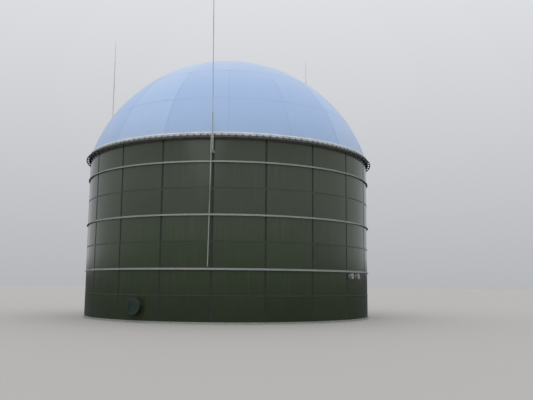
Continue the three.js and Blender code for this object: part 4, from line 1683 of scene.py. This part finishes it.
        # The strut is a small channel: two webs and the flange on top of them
        for left, right, under in ((-half, -half + plate, self.strut_low),
                                   (half - plate, half, self.strut_low),
                                   (-half, half, self.strut_high - plate)):
            bracket.block((left, near, under), (right, far, self.strut_high), self.bevel, self.place)
        span = self.wall_plate_half
        middle = (self.strut_low + self.strut_high) / 2
        bracket.block((-span, -wall - self.wall_plate, middle - span), (span, -wall, middle + span),
                      self.plate_bevel, self.place)
        out = span - self.wall_bolt_inset
        for x in (-out, out):
            for z in (middle - out, middle + out):
                seat = self.place @ Matrix.Translation((x, -wall - self.wall_plate, z)) @ OUTWARDS
                self.wall_bolt.add_to(bracket, seat)
        for level in self.clamp_levels:
            lean = math.tan(math.radians(self.lean)) * (level - self.foot)
            self.add_clamp(bracket, lean, level, self.radii[0])
            self.add_clamp(bracket, self.down_shift(level), level + self.clamp_step, self.down_radius)
        hand_over(bracket.piece(f"mast_bracket_{self.side}_plate", GALVANISED_PIPE),
                  [f"mast_bracket_{self.side}"])

    def add_clamp(self, shape: Shape, middle: float, level: float, radius: float) -> None:
        """Adds a U-bolt round a pipe, with its nuts behind the plate.

        Args:
            shape: What it is added to.
            middle: Where the pipe's middle is, along the wall.
            level: Its height.
            radius: The pipe's radius.
        """
        rod = self.clamp_rod
        reach = radius + rod
        axis = self.face + radius
        bend = [Vector((middle + reach * math.cos(a), -axis - reach * math.sin(a), level))
                for a in (math.pi * i / self.clamp_steps for i in range(self.clamp_steps + 1))]
        back = -self.face + self.plate + self.clamp_end
        path = [Vector((middle + reach, back, level)), *bend, Vector((middle - reach, back, level))]
        shape.rod(path, rod, self.clamp_sides, self.place)
        for side in (-1, 1):
            seat = Matrix.Translation((middle + side * reach, -self.face + self.plate, level))
            self.clamp_nut.add_to(shape, self.place @ seat @ INWARDS)


@dataclass
class Manway:
    """The round manway in the lowest course: pad, flanged neck and bolted cover."""

    angle: float = -27.0
    level: float = 0.735
    pad_half: float = 0.45
    pad_corner: float = 0.06
    pad_points: int = 5
    pad_thickness: float = 0.012
    pad_bevel: float = 0.003
    sunk: float = 0.001
    reach: float = 0.25
    neck: float = 0.3
    bore: float = 0.28
    flange: float = 0.39
    flange_thickness: float = 0.02
    bevel: float = 0.002
    collar: float = 0.02
    cover_bevel: float = 0.003
    dish_edge: float = 0.01
    dish: float = 0.001
    grip_apart: float = 0.16
    grip_half: float = 0.09
    grip_rise: float = 0.055
    grip_bend: tuple[float, float] = (0.02, 0.015)
    grip_radius: float = 0.007
    bolts: int = 24
    circle_shift: float = 0.004
    bolt: BoltHead = BoltHead(across=0.03, height=0.018, washer=0.019)
    nut: BoltHead = BoltHead(across=0.03, height=0.026, washer=0.019)
    sides: int = 64

    def build(self) -> None:
        """Builds the frame, the cover and the bolts."""
        place = round_place(self.angle) @ Matrix.Translation((0, -TANK_RADIUS, self.level)) @ OUTWARDS
        face = self.reach + CAD_GAP - TANK_RADIUS * (1 - CAD_FACET)
        back, low = face - self.flange_thickness, face + 2 * CAD_GAP
        top = low + self.flange_thickness
        body = Shape()
        self.add_pad(body)
        edge, bevel = self.flange - self.bevel, self.bevel
        body.loft(self.circles([(self.bore, 0.004), (self.neck, 0.004),
                                (self.neck, self.pad_thickness + self.collar), (self.neck, back),
                                (edge, back), (self.flange, back + bevel), (self.flange, face - bevel),
                                (edge, face), (self.bore + bevel, face), (self.bore, face - bevel)]),
                  ring=True, place=place)
        hand_over(body.piece("manway_neck", ENAMEL), ["manway_frame"])
        cover = Shape()
        edge, bevel = self.flange - self.cover_bevel, self.cover_bevel
        cover.loft(self.circles([(edge, low), (self.flange, face + bevel), (self.flange, top - bevel),
                                 (edge, top), (self.bore + self.dish_edge, top),
                                 (self.bore - self.dish_edge, top + self.dish)]), place=place)
        self.add_grips(cover, place @ Matrix.Translation((0, 0, top)))
        hand_over(cover.piece("manway_lid", COVER_PAINT), ["manway_cover"])
        ring = Shape()
        circle = (self.neck + self.flange) / 2 + self.circle_shift
        for seat in bolt_circle(circle, self.bolts, top):
            self.bolt.add_to(ring, place @ seat)
        for seat in bolt_circle(circle, self.bolts, back):
            self.nut.add_to(ring, place @ seat @ UPSIDE_DOWN)
        hand_over(ring.piece("manway_bolts", GREYED_STEEL))

    def add_grips(self, shape: Shape, place: Matrix) -> None:
        """Adds the two bent grips that the cover is lifted by.

        Args:
            shape: What they are added to.
            place: Where the middle of the cover's face goes, with its axis along the place's +Z.
        """
        half, rise = self.grip_half, self.grip_rise
        inwards, down = self.grip_bend
        path = ((-half, 0.0), (-half, rise - down), (inwards - half, rise), (half - inwards, rise),
                (half, rise - down), (half, 0.0))
        for x in (-self.grip_apart, self.grip_apart):
            shape.rod([Vector((x, y, z)) for y, z in path], self.grip_radius, 8, place)

    def circles(self, outline: Outline) -> list[Loop]:
        """Circles of the given radii and heights.

        Args:
            outline: Radius and height of each circle.

        Returns:
            A loop of points for each.
        """
        angles = [math.tau * i / self.sides for i in range(self.sides)]
        return [[Vector((r * math.cos(a), r * math.sin(a), z)) for a in angles] for r, z in outline]

    def add_pad(self, shape: Shape) -> None:
        """Adds the pad round the neck, bent to the wall and open in its middle.

        Args:
            shape: What it is added to.
        """
        back = TANK_RADIUS + SEAM_RISE - self.sunk
        front = TANK_RADIUS + SEAM_RISE + self.pad_thickness
        loops = [self.pad_edge(self.pad_half, back), self.pad_edge(self.pad_half, front - self.pad_bevel),
                 self.pad_edge(self.pad_half - self.pad_bevel, front)]
        hole = [(self.neck - 2 * self.sunk) * Vector((math.cos(a), math.sin(a)))
                for a in self.pad_angles()]
        loops += [[self.on_wall(p.x, p.y, radius) for p in hole] for radius in (front, back)]
        shape.loft(loops, ring=True)

    def pad_angles(self) -> list[float]:
        """Directions from the manway's middle to the points of the pad's edge."""
        return [math.atan2(p.y, p.x) for p in self.pad_outline(self.pad_half)]

    def pad_outline(self, half: float) -> list[Vector]:
        """The pad's edge as a square with round corners.

        Args:
            half: Half its width.

        Returns:
            Points along the wall and up it, from the manway's middle.
        """
        points = []
        corner, last = self.pad_corner, self.pad_points - 1
        straight = half - corner
        for quarter in range(4):
            turn = Matrix.Rotation(quarter * math.pi / 2, 2)
            for i in range(self.pad_points):
                points.append(turn @ Vector((half, straight * (2 * i - last) / self.pad_points)))
            for i in range(self.pad_points):
                a = math.pi / 2 * i / last
                points.append(turn @ Vector((straight + corner * math.cos(a),
                                             straight + corner * math.sin(a))))
        return points

    def pad_edge(self, half: float, radius: float) -> list[Vector]:
        """The pad's edge, bent to the wall."""
        return [self.on_wall(p.x, p.y, radius) for p in self.pad_outline(half)]

    def on_wall(self, along: float, up: float, radius: float) -> Vector:
        """A point near the manway, over the round wall.

        Args:
            along: Distance along the wall from the manway's middle.
            up: Height over the manway's middle.
            radius: Distance from the tank's axis.

        Returns:
            The point.
        """
        angle = math.radians(self.angle) + along / TANK_RADIUS
        return Vector((radius * math.sin(angle), -radius * math.cos(angle), self.level + up))


@dataclass
class Nozzle:
    """A short flanged stub, closed by a blind disc."""

    side: str
    angle: float
    shift: float
    level: float = 2.17
    pipe: float = 0.084
    flange: float = 0.142
    thickness: float = 0.022
    reach: float = 0.15
    bevel: float = 0.002
    split: float = 0.002
    gasket_inset: float = 0.008
    fillet: float = 0.012
    pad: float = 0.06
    pad_thickness: float = 0.018
    pad_bevel: float = 0.003
    weld: tuple[float, float] = (0.006, 0.008)
    bolts: int = 8
    circle_shift: float = 0.004
    bolt: BoltHead = BoltHead(across=0.026, height=0.02, washer=0.016)
    sides: int = 40

    def build(self) -> None:
        """Builds the stub with its pad, flanges and bolts."""
        seat = (TANK_RADIUS - CAD_COURSE_INSET) * CAD_FACET + CAD_GAP
        place = round_place(self.angle, self.shift) @ Matrix.Translation((0, -seat, self.level)) @ OUTWARDS
        face, back, top = self.reach, self.reach - self.thickness, self.reach + self.thickness
        edge, bevel, slit = self.flange - self.bevel, self.bevel, self.split / 2
        gasket, pad, plate = self.flange - self.gasket_inset, self.pipe + self.pad, self.pad_thickness
        stub = Shape()
        # The pipe with its flange, the gasket in the slit, the blind disc, and the pad on the wall
        for outline in (
                [(self.pipe, 0.004), (self.pipe, back - self.fillet), (self.pipe + self.fillet, back),
                 (edge, back), (self.flange, back + bevel), (self.flange, face - bevel),
                 (edge, face - slit)],
                [(gasket, face - self.split), (gasket, face + self.split)],
                [(edge, face + slit), (self.flange, face + bevel), (self.flange, top - bevel), (edge, top)],
                [(pad, -bevel), (pad, plate - bevel), (pad - self.pad_bevel, plate),
                 (self.pipe + self.weld[0], plate), (self.pipe, plate + self.weld[1])]):
            stub.lathe(outline, self.sides, place)
        circle = (self.pipe + self.flange) / 2 + self.circle_shift
        for seat in bolt_circle(circle, self.bolts, back):
            self.bolt.add_to(stub, place @ seat @ UPSIDE_DOWN)
        hand_over(stub.piece(f"nozzle_{self.side}_stub", GALVANISED),
                  [f"nozzle_{self.side}"])


@dataclass
class Studio:
    """The plain floor, the soft light and the camera at the photograph's angle."""

    place: tuple[float, float, float] = (3.547, -35.533, 1.74)
    turn: float = 2.35
    pitch: float = 7.58
    roll: float = 0.47
    lens: float = 42.883
    sensor: float = 36.0
    floor_radius: float = 400.0
    floor_depth: float = 0.5
    floor_sides: int = 96
    floor_colour: str = "ADA9A3"
    backdrop: str = "DADCE0"
    backdrop_light: tuple[float, float] = (0.66, 1.1)
    backdrop_top: float = 0.5
    sky_colour: str = "EDF0F6"
    horizon_light: float = 0.09
    near_haze_top: float = 0.165
    near_light: float = 0.85
    near_bank_top: float = 0.205
    near_bank_light: float = 0.58
    far_haze: tuple[float, float] = (0.012, 0.042)
    far_light: float = 0.68
    side_reach: float = 0.6
    overhead_light: float = 1.5
    sun_light: float = 0.5
    sun_spread: float = 60.0
    sun_tilt: float = 50.0
    sun_turn: float = -15.0

    def build(self) -> None:
        """Sets up the camera, the floor and the light."""
        camera = bpy.data.cameras.new("camera")
        camera.lens, camera.sensor_width = self.lens, self.sensor
        camera.clip_start, camera.clip_end = 0.5, 2 * self.floor_radius
        holder = bpy.data.objects.new("camera", camera)
        holder.matrix_world = (Matrix.Translation(self.place)
                               @ Matrix.Rotation(math.radians(self.turn), 4, "Z")
                               @ Matrix.Rotation(math.radians(90 + self.pitch), 4, "X")
                               @ Matrix.Rotation(math.radians(self.roll), 4, "Z"))
        bpy.context.scene.collection.objects.link(holder)
        bpy.context.scene.camera = holder
        bpy.context.scene.view_settings.view_transform = "Standard"
        self.add_floor()
        self.add_sky()
        self.add_light()

    def add_floor(self) -> None:
        """Lays a plain pale floor that reaches to the horizon."""
        disc = Shape()
        disc.lathe([(self.floor_radius, -self.floor_depth), (self.floor_radius, -2 * STEP_GAP)],
                   self.floor_sides)
        ground = Mottled("plain_floor", self.floor_colour, self.floor_colour, roughness=(0.9, 0.9),
                         grain_height=0.0)
        floor = disc.piece("floor", ground)
        # The gloss of the wall mirrors the dark horizon all round, as outdoors, and not the pale floor
        floor.visible_glossy = False

    def add_sky(self) -> None:
        """Sets up a plain pale backdrop, and soft light that is strongest from overhead and in front."""
        world = bpy.data.worlds.new("overcast")
        bpy.context.scene.world = world
        world.use_nodes = True
        tree = world.node_tree
        tree.nodes.clear()
        node = functools.partial(add_node, tree)
        direction = node("ShaderNodeTexCoord", out="Generated")
        up = node("ShaderNodeSeparateXYZ", {"Vector": direction}, out="Z")
        back = node("ShaderNodeSeparateXYZ", {"Vector": direction}, out="Y")
        near = node(RANGE,
                    {"Value": up, "From Max": self.near_haze_top, "To Min": self.horizon_light,
                     "To Max": self.near_light})
        # A darker bank of cloud stands over the bright haze in front
        bank = node(RANGE,
                    {"Value": up, "From Min": self.near_haze_top, "From Max": self.near_bank_top,
                     "To Max": self.near_bank_light - self.near_light})
        near = node(MATH, {0: near, 1: bank}, operation="ADD")
        far = node(RANGE,
                   {"Value": up, "From Min": self.far_haze[0], "From Max": self.far_haze[1],
                    "To Min": self.horizon_light, "To Max": self.far_light})
        side = node(RANGE, {"Value": back, "From Min": -self.side_reach, "From Max": self.side_reach})
        haze = node(MIX, {"Factor": side, "A": near, "B": far}, data_type="FLOAT")
        rise = node(RANGE,
                    {"Value": up, "From Min": self.near_bank_top,
                     "To Max": self.overhead_light - self.near_bank_light})
        light = node(MATH, {0: haze, 1: rise}, operation="ADD")
        sky = node("ShaderNodeBackground", {"Color": linear(self.sky_colour), "Strength": light})
        low, high = self.backdrop_light
        fade = node(RANGE, {"Value": up, "From Max": self.backdrop_top, "To Min": low, "To Max": high})
        backdrop = node("ShaderNodeBackground", {"Color": linear(self.backdrop), "Strength": fade})
        seen = node("ShaderNodeLightPath", out="Is Camera Ray")
        both = node("ShaderNodeMixShader", {0: seen, 1: sky, 2: backdrop})
        node("ShaderNodeOutputWorld", {"Surface": both})

    def add_light(self) -> None:
        """Adds one broad soft light from the front, a little from the left."""
        sun = bpy.data.lights.new("soft_light", "SUN")
        sun.energy = self.sun_light
        sun.angle = math.radians(self.sun_spread)
        lamp = bpy.data.objects.new("soft_light", sun)
        lamp.rotation_euler = (math.radians(self.sun_tilt), 0, math.radians(self.sun_turn))
        bpy.context.scene.collection.objects.link(lamp)


def main() -> None:
    """Builds the whole digester and its studio."""
    logging.basicConfig(level=logging.INFO, format="%(message)s")
    Studio().build()
    parts = [
        Wall(),
        WindGirder("wind_girder_low", first_splice=-11.0),
        WindGirder("wind_girder_middle", first_splice=7.0),
        WindGirder("wind_girder_high", first_splice=-7.0),
        Foot(),
        Rim(),
        Membrane(),
        Mast("front", angle=0.0, shift=-0.006, lean=-0.64),
        Mast("left", angle=-105.0, shift=-0.293),
        Mast("right", angle=147.0, shift=-0.160),
        Manway(),
        Nozzle("left", angle=57.0, shift=-0.080),
        Nozzle("right", angle=63.0, shift=-0.213),
    ]
    for part in parts:
        part.build()


if __name__ == "__main__":
    main()
